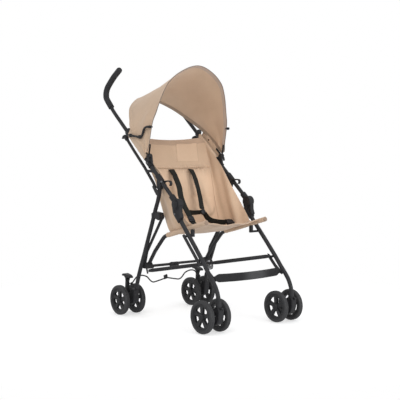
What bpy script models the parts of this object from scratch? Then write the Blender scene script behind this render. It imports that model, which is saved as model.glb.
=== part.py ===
import bpy
import bmesh
from math import cos, sin, radians, pi
from mathutils import Matrix, Vector

# Lengths in metres. The buggy faces -Y, the floor is z = 0 and x = 0 is its middle plane.
# Side-view stations are (y, z) pairs measured from the canopy pivots' upright line.
DATUM_Y = 0.0322

# Frame
HANDLE_X = 0.190
LEG_X = 0.188
HANDLE_TUBE_R = 0.0080
LEG_TUBE_R = 0.0087
REAR_TUBE_R = 0.0085
BACK_TUBE_R = 0.0062
SEAT_TUBE_R = 0.0080
CROSS_BAR_R = 0.0065
SPREADER_R = 0.0058
WIRE_R = 0.0025
FIT = 0.0003
BORE_EXTRA = 0.0006

# Wheels
FRONT_WHEEL_R = 0.0635
REAR_WHEEL_R = 0.0625
WHEEL_WIDTH = 0.0205
TWIN_PITCH = 0.0814
TRACK_X = 0.1930
FRONT_AXLE_Y = -0.3589
REAR_AXLE_Y = 0.1845
AXLE_PIN_R = 0.0040
HUB_BORE_R = 0.0046
CASTER_STEM_Y = -0.4040
REAR_LEG_INSET = 0.0050
WIRE_PIN_INSET = 0.0055
SPOKES = 5
TYRE_FACETS = 26

# Fold
CROSS_CENTRE = (-0.120, 0.2200)
CROSS_TILT = radians(10.6)
CROSS_END_INSET = 0.0175
CROSS_SPAN_X = LEG_X - CROSS_END_INSET
CROSS_SPAN_Y = 0.1890
CROSS_STACK = 0.0136
CROSS_LUG_GAP = 0.0060
LUG_HALF = 0.0012

# Canopy
PIVOT = (0.0266, 0.6680)
BOW_FRONT_TILT = radians(12.0)
BOW_REAR_TILT = radians(-50.0)
CANOPY_CLOTH = 0.0024

# Seat
SLING_CLOTH = 0.0030
STRAP_WIDTH = 0.0240
STRAP_THICK = 0.0016
STRAP_END_GAP = 0.0005
STRAP_REACH = CROSS_SPAN_X + CROSS_LUG_GAP - LUG_HALF - STRAP_END_GAP

HANDLE_TOP = (0.3057, 0.8760)
HANDLE_BEND = ((0.2985, 0.8670), (0.2890, 0.8580), (0.2770, 0.8470))
KNOB = (-0.1520, 0.4780)
GRIP_LINE = (
    (0.3057, 0.8760), (0.3400, 0.9127), (0.3452, 0.9270), (0.3440, 0.9425), (0.3360, 0.9590),
    (0.3230, 0.9730), (0.2850, 1.0050), (0.2500, 1.0280),
)
BACK_LINE = ((0.1960, 0.7440), (0.1400, 0.6900), (0.0650, 0.6210), (0.0060, 0.5600), (-0.0100, 0.5385))
FRONT_LEG_LINE = (
    (-0.1500, 0.4370), (-0.1660, 0.4200), (-0.1958, 0.3880), (-0.2636, 0.3160), (-0.3136, 0.2610),
    (-0.3434, 0.2250), (-0.3700, 0.1960), (-0.3860, 0.1760), (-0.3960, 0.1570), (-0.4020, 0.1400),
    (-0.4040, 0.1250), (-0.4040, 0.1050),
)
REAR_LEG_LINE = (
    (-0.0372, 0.5480), (-0.0320, 0.5160), (-0.0210, 0.4835), (-0.0060, 0.4510), (0.0200, 0.3860),
    (0.0440, 0.3290), (0.0710, 0.2645), (0.0960, 0.2080), (0.1100, 0.1730), (0.1225, 0.1360),
    (0.1310, 0.1000), (0.1380, 0.0680),
)
SEAT_TUBE_X = 0.156
SEAT_TUBE_LINE = (
    (0.0880, 0.2120), (0.0406, 0.2747), (-0.0100, 0.3270), (-0.0230, 0.3385), (-0.0400, 0.3460),
    (-0.1200, 0.3660), (-0.2000, 0.3880), (-0.2900, 0.4120),
)
SLEEVE_R = 0.0097

body = bpy.data.collections.new("Folding_buggy")
cutters = bpy.data.collections.new("Cutters")


def at(x, y, z):
    return Vector((x, y + DATUM_Y, z))


def side_points(x, line):
    return [at(x, y, z) for y, z in line]


def material(name, colour, roughness, metallic=0.0):
    mat = bpy.data.materials.new(name)
    mat.use_nodes = True
    shader = mat.node_tree.nodes["Principled BSDF"]
    shader.inputs["Base Color"].default_value = (*colour, 1.0)
    shader.inputs["Roughness"].default_value = roughness
    shader.inputs["Metallic"].default_value = metallic
    return mat


def solid(mesh, name="piece"):
    obj = bpy.data.objects.new(name, mesh)
    cutters.objects.link(obj)
    obj.hide_render = True
    obj.display_type = 'WIRE'
    return obj


def from_bmesh(bm):
    bmesh.ops.recalc_face_normals(bm, faces=bm.faces)
    mesh = bpy.data.meshes.new("piece")
    bm.to_mesh(mesh)
    bm.free()
    return solid(mesh)


def evaluated(obj):
    depsgraph = bpy.context.evaluated_depsgraph_get()
    return bpy.data.meshes.new_from_object(obj.evaluated_get(depsgraph))


def weld(mesh, distance=0.00002):
    bm = bmesh.new()
    bm.from_mesh(mesh)
    bmesh.ops.remove_doubles(bm, verts=bm.verts, dist=distance)
    bmesh.ops.recalc_face_normals(bm, faces=bm.faces)
    bm.to_mesh(mesh)
    bm.free()


def baked(obj):
    mesh = evaluated(obj)
    mesh.transform(obj.matrix_world)
    bpy.data.objects.remove(obj)
    weld(mesh)
    return solid(mesh)


def tube(points, radius, resolution=4, taper=None):
    """taper gives each point's share of the radius, for a rounded or drawn-in end."""
    curve = bpy.data.curves.new("tube", 'CURVE')
    curve.dimensions = '3D'
    curve.bevel_depth = radius
    curve.bevel_resolution = resolution
    curve.use_fill_caps = True
    spline = curve.splines.new('POLY')
    spline.points.add(len(points) - 1)
    for index, point in enumerate(points):
        spline.points[index].co = (*point, 1.0)
        spline.points[index].radius = taper[index] if taper else 1.0
    obj = bpy.data.objects.new("tube", curve)
    cutters.objects.link(obj)
    return baked(obj)


def plate(outline, x, half, bevel=0.0):
    """A flat plate in the side plane: outline of (y, z) stations, half its thickness along x."""
    curve = bpy.data.curves.new("plate", 'CURVE')
    curve.dimensions = '2D'
    curve.fill_mode = 'BOTH'
    curve.extrude = half
    spline = curve.splines.new('POLY')
    spline.points.add(len(outline) - 1)
    for index, (y, z) in enumerate(outline):
        spline.points[index].co = (y + DATUM_Y, z, 0.0, 1.0)
    spline.use_cyclic_u = True
    obj = bpy.data.objects.new("plate", curve)
    obj.matrix_world = Matrix(((0, 0, 1, x), (1, 0, 0, 0), (0, 1, 0, 0), (0, 0, 0, 1)))
    cutters.objects.link(obj)
    if not bevel:
        return baked(obj)
    flat = baked(obj)
    edge = flat.modifiers.new("edge", 'BEVEL')
    edge.width = bevel
    edge.segments = 1
    edge.limit_method = 'ANGLE'
    edge.angle_limit = radians(50)
    return baked(flat)


def cylinder(start, end, radius, sides=12, end_radius=None):
    start = Vector(start)
    end = Vector(end)
    bm = bmesh.new()
    bmesh.ops.create_cone(
        bm, cap_ends=True, segments=sides, radius1=radius,
        radius2=radius if end_radius is None else end_radius, depth=(end - start).length,
    )
    turn = (end - start).to_track_quat('Z', 'Y').to_matrix().to_4x4()
    bmesh.ops.transform(bm, verts=bm.verts, matrix=Matrix.Translation((start + end) / 2) @ turn)
    return from_bmesh(bm)


def box(low, high, bevel=0.0):
    low = Vector(low)
    high = Vector(high)
    bm = bmesh.new()
    size = high - low
    bmesh.ops.create_cube(
        bm, size=1.0, matrix=Matrix.Translation((low + high) / 2) @ Matrix.Diagonal((*size, 1.0)),
    )
    if bevel:
        bmesh.ops.bevel(
            bm, geom=bm.edges, offset=bevel, segments=1, affect='EDGES', profile=0.5,
        )
    return from_bmesh(bm)


def lathe(profile, steps):
    """A piece turned about the x axis; the profile is (x, r), closed where it leaves the axis."""
    curve_mesh = bpy.data.meshes.new("profile")
    verts = [(r, 0.0, -x) for x, r in profile]
    edges = [(i, i + 1) for i in range(len(profile) - 1)]
    if profile[0][1] > 0:
        edges.append((len(profile) - 1, 0))
    curve_mesh.from_pydata(verts, edges, [])
    obj = solid(curve_mesh)
    turn = obj.modifiers.new("turn", 'SCREW')
    turn.axis = 'Z'
    turn.steps = steps
    turn.render_steps = steps
    turn.use_merge_vertices = True
    turn.merge_threshold = 0.00001
    obj.matrix_world = Matrix.Rotation(radians(-90), 4, 'Y')
    bpy.context.view_layer.update()
    return baked(obj)


def boolean(base, others, operation):
    for other in others:
        step = base.modifiers.new("step", 'BOOLEAN')
        step.operation = operation
        step.solver = 'EXACT'
        step.object = other
    bpy.context.view_layer.update()
    mesh = evaluated(base)
    mesh.transform(base.matrix_world)
    for obj in [base, *others]:
        bpy.data.objects.remove(obj)
    weld(mesh, 0.00001)
    return solid(mesh)


def joined(base, *others):
    return boolean(base, others, 'UNION')


def cut(base, *others):
    return boolean(base, others, 'DIFFERENCE')


def finish(obj, name, mat, origin, mesh=None, turn=0.0):
    """Names a piece, puts its origin on its own joint and its mesh in the object's collection."""
    if mesh is None:
        mesh = obj.data
        mesh.transform(Matrix.Translation(-Vector(origin)))
        mesh.name = name
        mesh.materials.clear()
        mesh.materials.append(mat)
        mesh.shade_smooth()
        mesh.set_sharp_from_angle(angle=radians(35))
        bpy.data.objects.remove(obj)
    done = bpy.data.objects.new(name, mesh)
    done.location = origin
    done.rotation_euler = (0.0, 0.0, turn)
    body.objects.link(done)
    return done


def along(a, b, distance):
    """The station a given distance from a towards b."""
    a = Vector(a)
    b = Vector(b)
    return a + (b - a).normalized() * distance


HANDLE_DIR = (Vector(HANDLE_BEND[-1]) - Vector(KNOB)).normalized()
GRIP_DIR = (Vector(GRIP_LINE[1]) - Vector(GRIP_LINE[0])).normalized()
LEG_TOP_DIR = (Vector(FRONT_LEG_LINE[0]) - Vector(FRONT_LEG_LINE[2])).normalized()


def on_handle(y):
    """Height of the handle tube's axis at station y."""
    return KNOB[1] + (y - KNOB[0]) * HANDLE_DIR.y / HANDLE_DIR.x


def handle_clearance(side, start_y, end_y):
    x = side * HANDLE_X
    return cylinder(at(x, start_y, on_handle(start_y)), at(x, end_y, on_handle(end_y)), HANDLE_TUBE_R + BORE_EXTRA)


def handle_tube(side):
    x = side * HANDLE_X
    inside = Vector(GRIP_LINE[0]) + GRIP_DIR * 0.028
    foot = Vector(KNOB) + HANDLE_DIR * 0.0215
    line = [tuple(inside), HANDLE_TOP, *HANDLE_BEND, tuple(foot)]
    return tube(side_points(x, line), HANDLE_TUBE_R)


def grip(side):
    x = side * HANDLE_X
    last = Vector(GRIP_LINE[-1])
    end_dir = (last - Vector(GRIP_LINE[-2])).normalized()
    ends = [last + end_dir * d for d in (0.005, 0.009, 0.0115)]
    line = [*GRIP_LINE, *[tuple(p) for p in ends]]
    taper = [1.0] * len(GRIP_LINE) + [0.93, 0.74, 0.40]
    handle = tube(side_points(x, line), 0.0128, 4, taper)
    start = Vector(GRIP_LINE[0]) - GRIP_DIR * 0.004
    bottom = Vector(GRIP_LINE[0]) + GRIP_DIR * 0.030
    return cut(handle, cylinder(at(x, *start), at(x, *bottom), HANDLE_TUBE_R + BORE_EXTRA))


def back_tube(side):
    x = side * HANDLE_X
    parts = tube(side_points(x, BACK_LINE), BACK_TUBE_R, 3)
    top = Vector(BACK_LINE[0])
    cap = cylinder(at(x, *along(BACK_LINE[0], BACK_LINE[1], 0.010)), at(x, *(top + HANDLE_DIR * 0.012)), 0.0088, 10)
    hook = plate(
        ((0.1930, 0.7530), (0.2030, 0.7575), (0.2160, 0.7530), (0.2230, 0.7420), (0.2175, 0.7400), (0.2110, 0.7470),
         (0.2010, 0.7480)),
        x, 0.0045,
    )
    clamp_mid = Vector((0.1764, on_handle(0.1764)))
    clamp = cylinder(at(x, *(clamp_mid - HANDLE_DIR * 0.0125)), at(x, *(clamp_mid + HANDLE_DIR * 0.0125)), 0.0118, 12)
    lug = plate(
        ((0.1660, 0.7640), (0.1790, 0.7760), (0.1800, 0.7840), (0.1710, 0.7850), (0.1620, 0.7750)), x, 0.0050,
    )
    link = plate(((0.1780, 0.7560), (0.1890, 0.7500), (0.1980, 0.7400), (0.2040, 0.7460), (0.1900, 0.7630)), x, 0.0045)
    rung = plate(((0.0440, 0.6120), (-0.0060, 0.6120), (-0.0060, 0.6010), (0.0440, 0.6010)), x, 0.0050)
    outer = LEG_X + REAR_TUBE_R + FIT
    low = BACK_LINE[-1]
    bridge = plate(
        ((low[0] - 0.001, low[1] - 0.008), (low[0] + 0.012, low[1] + 0.005), (low[0] + 0.006, low[1] + 0.010),
         (low[0] - 0.006, low[1] + 0.001)),
        side * (HANDLE_X + 0.0049), 0.0049,
    )
    ear = plate(
        ((low[0] - 0.0315, low[1] - 0.0260), (low[0] - 0.0165, low[1] - 0.0290), (low[0] + 0.0120, low[1] + 0.0050),
         (low[0] + 0.0020, low[1] + 0.0110), (low[0] - 0.0290, low[1] - 0.0130)),
        side * (outer + 0.0015), 0.0015,
    )
    whole = joined(parts, cap, hook, clamp, lug, link, rung, bridge, ear)
    return cut(whole, handle_clearance(side, 0.150, 0.200), handle_clearance(side, -0.030, 0.020))


def leg_bracket(side):
    x = side * HANDLE_X
    mid = Vector((-0.0400, on_handle(-0.0400)))
    sleeve = cylinder(at(x, *(mid - HANDLE_DIR * 0.0210)), at(x, *(mid + HANDLE_DIR * 0.0210)), 0.0118, 12)
    block = plate(
        ((-0.0260, 0.5800), (-0.0240, 0.5600), (-0.0260, 0.5360), (-0.0450, 0.5340), (-0.0510, 0.5480),
         (-0.0560, 0.5600)),
        side * 0.1885, 0.0085, 0.0010,
    )
    hook = plate(
        ((-0.0560, 0.5690), (-0.0700, 0.5700), (-0.0830, 0.5710), (-0.0990, 0.5700), (-0.1055, 0.5640),
         (-0.1060, 0.5560), (-0.1000, 0.5490), (-0.0960, 0.5510), (-0.1010, 0.5570), (-0.1000, 0.5620),
         (-0.0960, 0.5650), (-0.0830, 0.5660), (-0.0700, 0.5640), (-0.0560, 0.5600)),
        side * 0.1835, 0.0050,
    )
    whole = joined(sleeve, block, hook)
    top = Vector(REAR_LEG_LINE[0])
    low = Vector(REAR_LEG_LINE[1])
    leg_bore = cylinder(
        at(side * LEG_X, *(top + (top - low).normalized() * 0.002)), at(side * LEG_X, *along(top, low, 0.030)),
        REAR_TUBE_R + BORE_EXTRA,
    )
    return cut(whole, handle_clearance(side, -0.080, 0.010), leg_bore)


def hinge_housing(side):
    x = side * HANDLE_X
    knob = Vector(KNOB)
    disc = lathe(
        ((-0.0140, 0.0), (-0.0140, 0.0215), (-0.0125, 0.0230), (0.0105, 0.0230), (0.0125, 0.0215), (0.0125, 0.0150),
         (0.0150, 0.0140), (0.0150, 0.0)),
        16,
    )
    disc.data.transform(Matrix.Translation(at(x, *KNOB)) @ Matrix.Diagonal((side, 1, 1, 1)))
    if side < 0:
        disc.data.flip_normals()
    upper = cylinder(at(x, *(knob + HANDLE_DIR * 0.004)), at(x, *(knob + HANDLE_DIR * 0.0460)), 0.0126, 12)
    lower_top = Vector(FRONT_LEG_LINE[0])
    lower_end = lower_top - LEG_TOP_DIR * 0.0330
    arm = tube(
        side_points(x, ((-0.1500, 0.4700), (-0.1450, 0.4560), tuple(lower_top + LEG_TOP_DIR * 0.006),
                        tuple(lower_end))), 0.0128, 3,
    )
    cheek = plate(
        ((-0.1300, 0.4860), (-0.1290, 0.4650), (-0.1330, 0.4450), (-0.1500, 0.4220), (-0.1690, 0.4120),
         (-0.1830, 0.4270), (-0.1760, 0.4460), (-0.1750, 0.4700)),
        x, 0.0095, 0.0015,
    )
    whole = joined(disc, upper, arm, cheek)
    tube_bore = cylinder(
        at(x, *(knob + HANDLE_DIR * 0.0200)), at(x, *(knob + HANDLE_DIR * 0.0520)), HANDLE_TUBE_R + BORE_EXTRA,
    )
    leg_bore = cylinder(
        at(side * LEG_X, *(lower_top + LEG_TOP_DIR * 0.0015)), at(side * LEG_X, *(lower_top - LEG_TOP_DIR * 0.0400)),
        LEG_TUBE_R + BORE_EXTRA,
    )
    return cut(whole, tube_bore, leg_bore)


def front_leg(side):
    points = []
    for y, z in FRONT_LEG_LINE:
        drift = min(max((0.42 - z) / 0.30, 0.0), 1.0)
        points.append(at(side * (LEG_X + drift * (TRACK_X - LEG_X)), y, z))
    leg = tube(points, LEG_TUBE_R)
    x = side * TRACK_X
    boot = cylinder(at(x, CASTER_STEM_Y, 0.1035), at(x, CASTER_STEM_Y, 0.1300), 0.0120, 12, 0.0105)
    bore = cylinder(at(x, CASTER_STEM_Y, 0.1000), at(x, CASTER_STEM_Y, 0.1250), 0.0052, 10)
    return cut(joined(leg, boot), bore)


def rear_leg_points(side, line):
    """The rear leg leaves the bracket at the leg's own x and meets its housing just inside the track."""
    points = []
    for y, z in line:
        drift = min(max((0.42 - z) / 0.30, 0.0), 1.0)
        points.append(at(side * (LEG_X + drift * (TRACK_X - REAR_LEG_INSET - LEG_X)), y, z))
    return points


def rear_leg(side):
    return tube(rear_leg_points(side, REAR_LEG_LINE), REAR_TUBE_R)


def canopy_clamp(side):
    x = side * HANDLE_X
    mid = Vector((0.0300, on_handle(0.0300)))
    sleeve = cylinder(at(x, *(mid - HANDLE_DIR * 0.0150)), at(x, *(mid + HANDLE_DIR * 0.0150)), 0.0118, 12)
    ear = plate(
        ((0.0120, 0.6340), (0.0420, 0.6520), (0.0370, 0.6690), (0.0330, 0.6750), (0.0266, 0.6780), (0.0200, 0.6750),
         (0.0165, 0.6690)),
        side * 0.1889, 0.0040, 0.0008,
    )
    pin = cylinder(at(side * 0.1890, *PIVOT), at(side * 0.2040, *PIVOT), 0.0030, 10)
    return cut(joined(sleeve, ear, pin), handle_clearance(side, -0.010, 0.070))


def bow_direction(tilt):
    return Vector((-sin(tilt), cos(tilt)))


def canopy_clip(side):
    x = side * 0.1973
    pivot = Vector(PIVOT)
    hub = cylinder(at(side * 0.1933, *PIVOT), at(side * 0.2031, *PIVOT), 0.0090, 12)
    prongs = []
    for tilt in (BOW_FRONT_TILT, BOW_REAR_TILT):
        way = bow_direction(tilt)
        prongs.append(cylinder(at(x, *(pivot + way * 0.004)), at(x, *(pivot + way * 0.0480)), 0.0040, 8))
    nub = plate(((0.0200, 0.6640), (0.0290, 0.6600), (0.0240, 0.6450), (0.0150, 0.6480)), side * 0.2038, 0.0014)
    pin_bore = cylinder(at(side * 0.1930, *PIVOT), at(side * 0.2060, *PIVOT), 0.0034, 10)
    return cut(joined(hub, prongs[0], prongs[1], nub), pin_bore)


def canopy_stay(side):
    x = side * 0.2085
    rear = (0.1354, 0.7530)
    middle = (0.0700, 0.7460)
    front = (0.0020, 0.7860)
    rod = tube(
        side_points(x, (rear, middle, (0.0560, 0.7500), (0.0470, 0.7640), (0.0390, 0.7790), (0.0240, 0.7860), front)),
        0.0026, 2,
    )
    hubs = [
        cylinder(at(side * 0.2014, *rear), at(side * 0.2125, *rear), 0.0058, 10),
        cylinder(at(side * 0.2046, *middle), at(side * 0.2125, *middle), 0.0052, 10),
        cylinder(at(side * 0.2033, *front), at(side * 0.2115, *front), 0.0045, 10),
    ]
    return joined(rod, *hubs)


def cross_end(way):
    """Station of the cross bars' front (1) or rear (-1) ends."""
    return Vector(CROSS_CENTRE) + way * CROSS_SPAN_Y * Vector((-cos(CROSS_TILT), sin(CROSS_TILT)))


def cross_lug(x, root, end):
    """A flat lug from its root to the cross bar's end, beside the bar."""
    way = (end - root).normalized()
    wide = Vector((-way.y, way.x)) * 0.0045
    tip = end + way * 0.0045
    return plate([tuple(p) for p in (root - wide, tip - wide, tip + wide, root + wide)], x, LUG_HALF - 0.0002)


def seat_tube(side):
    return tube(side_points(side * SEAT_TUBE_X, SEAT_TUBE_LINE), SEAT_TUBE_R)


def seat_sleeve(side):
    x = side * SEAT_TUBE_X
    line = [(-0.0440, 0.3470), (-0.1200, 0.3660), (-0.2000, 0.3880), tuple(along((-0.2000, 0.3880), (-0.2900, 0.4120), 0.0860))]
    outer = tube(side_points(x, line), SLEEVE_R)
    before = along(line[0], line[1], -0.004)
    after = along(line[3], line[2], -0.004)
    inner = tube(side_points(x, [tuple(before), line[1], line[2], tuple(after)]), SEAT_TUBE_R + BORE_EXTRA / 2)
    return cut(outer, inner)


def lower_link(side):
    x = side * 0.1715
    strut =tube(side_points(x, ((-0.0300, 0.4190), (0.0750, 0.2720), (0.0930, 0.2120))), 0.0060, 3)
    lug = plate(
        ((-0.0390, 0.4270), (-0.0320, 0.4380), (0.0000, 0.4420), (0.0170, 0.4340), (0.0160, 0.4180), (-0.0060, 0.4150),
         (-0.0280, 0.4080), (-0.0380, 0.4160)),
        side * 0.1800, 0.0130, 0.0010,
    )
    block = plate(
        ((0.0680, 0.2120), (0.0630, 0.2050), (0.0700, 0.2000), (0.0980, 0.2000), (0.1060, 0.2020), (0.1060, 0.2120),
         (0.0980, 0.2220), (0.0800, 0.2260)),
        side * 0.1605, 0.0180, 0.0015,
    )
    hinge_ear = box(at(side * 0.1500 - 0.0065, 0.1040, 0.1975), at(side * 0.1500 + 0.0065, 0.1075, 0.2105))
    hinge_pin = cylinder(at(side * 0.1500, 0.1040, 0.2040), at(side * 0.1500, 0.1350, 0.2040), 0.0026, 10)
    cross = cross_lug(side * (CROSS_SPAN_X + CROSS_LUG_GAP), Vector((0.0740, 0.2080)), cross_end(-1))
    whole = joined(strut, lug, block, hinge_ear, hinge_pin, cross)
    seat_line = side_points(side * SEAT_TUBE_X, [tuple(along(SEAT_TUBE_LINE[0], SEAT_TUBE_LINE[1], -0.0004)), SEAT_TUBE_LINE[1]])
    seat_bore = cylinder(seat_line[0], seat_line[1], SEAT_TUBE_R + BORE_EXTRA)
    leg_bore = tube(rear_leg_points(side, REAR_LEG_LINE), REAR_TUBE_R + BORE_EXTRA)
    return cut(whole, seat_bore, leg_bore)


def leg_axis(z):
    """Station of the front leg's axis at height z."""
    for (y0, z0), (y1, z1) in zip(FRONT_LEG_LINE, FRONT_LEG_LINE[1:]):
        if z0 >= z >= z1:
            return Vector((y0 + (y1 - y0) * (z0 - z) / (z0 - z1), z))
    return Vector(FRONT_LEG_LINE[-1])


def front_link(side):
    behind = Vector((LEG_TOP_DIR.y, -LEG_TOP_DIR.x))
    top = leg_axis(0.369) + behind * 0.0125
    low = leg_axis(0.262) + behind * 0.0125
    x = side * 0.2010
    bar = tube([at(x, *top), at(x, *low)], 0.0060, 3)
    cross_top = leg_axis(0.366) + behind * 0.0150
    cross = cylinder(at(side * 0.2010, *cross_top), at(side * 0.1490, *cross_top), 0.0045, 10)
    saddle_y = cross_top.x
    saddle_z = 0.3880 + (saddle_y + 0.2000) * -0.2667 - SLEEVE_R - FIT
    saddle = box(
        at(side * SEAT_TUBE_X - 0.006, saddle_y - 0.006, cross_top.y - 0.004),
        at(side * SEAT_TUBE_X + 0.006, saddle_y + 0.006, saddle_z + 0.004),
    )
    cross_low = leg_axis(0.268) + behind * 0.0150
    pin = cylinder(at(side * 0.2010, *cross_low), at(side * 0.1745, *cross_low), 0.0045, 10)
    lug_x = side * (CROSS_SPAN_X + CROSS_LUG_GAP)
    web = plate(
        ((-0.2830, 0.2700), (-0.2960, 0.2660), (-0.3330, 0.2290), (-0.3560, 0.2120), (-0.3700, 0.2060),
         (-0.3740, 0.1980), (-0.3660, 0.1920), (-0.3460, 0.2000), (-0.3240, 0.2180), (-0.2880, 0.2540)),
        lug_x, LUG_HALF,
    )
    whole = joined(bar, cross, saddle, pin, web, cross_lug(lug_x, cross_low, cross_end(1)))
    sleeve_gap = cylinder(
        at(side * SEAT_TUBE_X, -0.1200, 0.3660), at(side * SEAT_TUBE_X, -0.2900, 0.4120), SLEEVE_R + BORE_EXTRA,
    )
    return cut(whole, sleeve_gap)


def rear_axle_housing(side):
    x = side * TRACK_X
    shell = plate(
        ((0.1180, 0.1100), (0.1420, 0.1140), (0.1500, 0.0960), (0.1700, 0.0900), (0.1900, 0.0860), (0.2020, 0.0760),
         (0.2040, 0.0600), (0.1960, 0.0480), (0.1800, 0.0440), (0.1500, 0.0440), (0.1320, 0.0500), (0.1240, 0.0600)),
        x, 0.0135, 0.0025,
    )
    axle = cylinder(
        at(x - TWIN_PITCH / 2 - 0.0050, REAR_AXLE_Y, REAR_WHEEL_R),
        at(x + TWIN_PITCH / 2 + 0.0050, REAR_AXLE_Y, REAR_WHEEL_R), AXLE_PIN_R, 10,
    )
    cheeks = [
        plate(((0.1780, 0.0800), (0.1980, 0.0780), (0.1990, 0.0940), (0.1940, 0.1000), (0.1860, 0.1000),
               (0.1800, 0.0950)), x + offset, 0.0018)
        for offset in (-0.0095, 0.0095)
    ]
    pin = cylinder(at(x - 0.0100, 0.1890, 0.0930), at(x + 0.0100, 0.1890, 0.0930), 0.0026, 10)
    whole = joined(shell, cheeks[0], cheeks[1], pin, axle)
    leg_bore = tube(rear_leg_points(side, [*REAR_LEG_LINE[8:-1], (0.1382, 0.0672)]), REAR_TUBE_R + BORE_EXTRA)
    return cut(whole, leg_bore)


def brake_pedal(side):
    x = side * TRACK_X
    foot = plate(
        ((0.1590, 0.1540), (0.1600, 0.1600), (0.1700, 0.1655), (0.1850, 0.1690), (0.1960, 0.1710), (0.2080, 0.1690),
         (0.2140, 0.1645), (0.2130, 0.1600), (0.2000, 0.1600), (0.1900, 0.1520), (0.1880, 0.1400), (0.1860, 0.1390),
         (0.1830, 0.1480), (0.1760, 0.1560)),
        x, 0.0100, 0.0015,
    )
    stem = plate(
        ((0.1835, 0.1500), (0.1925, 0.1500), (0.1950, 0.1250), (0.1970, 0.0970), (0.1940, 0.0885), (0.1890, 0.0870),
         (0.1840, 0.0885), (0.1810, 0.0970), (0.1800, 0.1250)),
        x, 0.0070, 0.0010,
    )
    wire_y = BRAKE_WIRE_Y[side]
    pin_x = side * (TRACK_X - WIRE_PIN_INSET)
    wire_pin = cylinder(at(pin_x, 0.1840, 0.1290), at(pin_x, wire_y - 0.0050, 0.1290), 0.0022, 10)
    bore = cylinder(at(x - 0.0200, 0.1890, 0.0930), at(x + 0.0200, 0.1890, 0.0930), 0.0030, 10)
    return cut(joined(stem, foot, wire_pin), bore)


BRAKE_WIRE_Y = {1: 0.1705, -1: 0.1645}
WIRE_LINE = (
    (0.0045, 0.1330), (0.0155, 0.1450), (0.0275, 0.1560), (0.0445, 0.1600), (0.0615, 0.1585), (0.0815, 0.1510),
    (0.0975, 0.1350), (0.1135, 0.1260), (0.1385, 0.1290), (0.1835, 0.1380),
)


def brake_wire(side):
    """Half of the brake's wire; its stations are (inset from the pedal's pin, height)."""
    y = BRAKE_WIRE_Y[side]
    pin_x = TRACK_X - WIRE_PIN_INSET
    wire = tube([at(side * (pin_x - inset), y, pz) for inset, pz in WIRE_LINE], WIRE_R, 2)
    eye = cylinder(at(side * pin_x, y - 0.0025, 0.1290), at(side * pin_x, y + 0.0025, 0.1290), 0.0062, 10)
    bore = cylinder(at(side * pin_x, y - 0.0060, 0.1290), at(side * pin_x, y + 0.0060, 0.1290), 0.0026, 8)
    if side > 0:
        return cut(joined(wire, eye), bore)
    tip = side * (pin_x - WIRE_LINE[-1][0])
    link = plate_facing(
        ((tip - 0.0120, 0.1330), (tip + 0.0080, 0.1380), (tip + 0.0030, 0.1540), (tip - 0.0020, 0.1540)), y, 0.0020,
    )
    return cut(joined(wire, eye, link), bore)


def plate_facing(outline, y, half):
    """A flat plate across the buggy: outline of (x, z) stations, half its thickness along y."""
    curve = bpy.data.curves.new("plate", 'CURVE')
    curve.dimensions = '2D'
    curve.fill_mode = 'BOTH'
    curve.extrude = half
    spline = curve.splines.new('POLY')
    spline.points.add(len(outline) - 1)
    for index, (x, z) in enumerate(outline):
        spline.points[index].co = (x, z, 0.0, 1.0)
    spline.use_cyclic_u = True
    obj = bpy.data.objects.new("plate", curve)
    obj.matrix_world = Matrix(((1, 0, 0, 0), (0, 0, -1, y + DATUM_Y), (0, 1, 0, 0), (0, 0, 0, 1)))
    cutters.objects.link(obj)
    return baked(obj)


SPREADER_Y = {1: 0.1275, -1: 0.1145}


def spreader(side):
    y = SPREADER_Y[side]
    bar = tube([at(side * 0.1450, y, 0.2040), at(-side * 0.0100, y, 0.2040)], SPREADER_R, 3)
    eye = cylinder(at(side * 0.1500, y - 0.0045, 0.2040), at(side * 0.1500, y + 0.0045, 0.2040), 0.0075, 12)
    bore = cylinder(at(side * 0.1500, y - 0.0080, 0.2040), at(side * 0.1500, y + 0.0080, 0.2040), 0.0030, 10)
    if side > 0:
        return cut(joined(bar, eye), bore)
    lock = plate_facing(
        ((-0.0240, 0.1930), (-0.0180, 0.1900), (0.0180, 0.1930), (0.0210, 0.1990), (0.0210, 0.2080),
         (0.0160, 0.2130), (-0.0200, 0.2130), (-0.0260, 0.2080)), y - 0.0050, 0.0035,
    )
    rivet = cylinder(at(0.0, y - 0.0050, 0.2030), at(0.0, y - 0.0105, 0.2030), 0.0042, 10)
    return cut(joined(bar, eye, lock, rivet), bore)


def caster(side):
    x = side * TRACK_X
    shell = plate(
        ((-0.3890, 0.1000), (-0.4190, 0.1000), (-0.4222, 0.0900), (-0.4215, 0.0650), (-0.4130, 0.0420),
         (-0.3960, 0.0330), (-0.3640, 0.0440), (-0.3480, 0.0560), (-0.3460, 0.0700), (-0.3560, 0.0800),
         (-0.3760, 0.0880)),
        x, 0.0135, 0.0030,
    )
    collar = cylinder(at(x, CASTER_STEM_Y, 0.0800), at(x, CASTER_STEM_Y, 0.1030), 0.0150, 16)
    stem = cylinder(at(x, CASTER_STEM_Y, 0.1000), at(x, CASTER_STEM_Y, 0.1240), 0.0046, 10)
    axle = cylinder(
        at(x - TWIN_PITCH / 2 - 0.0050, FRONT_AXLE_Y, FRONT_WHEEL_R),
        at(x + TWIN_PITCH / 2 + 0.0050, FRONT_AXLE_Y, FRONT_WHEEL_R), AXLE_PIN_R, 10,
    )
    whole = joined(shell, collar, stem, axle)
    slot = box(at(x - 0.0062, -0.4300, 0.0935), at(x + 0.0062, -0.4120, 0.1060))
    return cut(whole, slot)


def lock_tab(side):
    x = side * TRACK_X
    return plate(
        ((-0.4135, 0.0945), (-0.4135, 0.1000), (-0.4180, 0.1022), (-0.4300, 0.1010), (-0.4305, 0.0985),
         (-0.4200, 0.0940)),
        x, 0.0055, 0.0008,
    )


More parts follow.
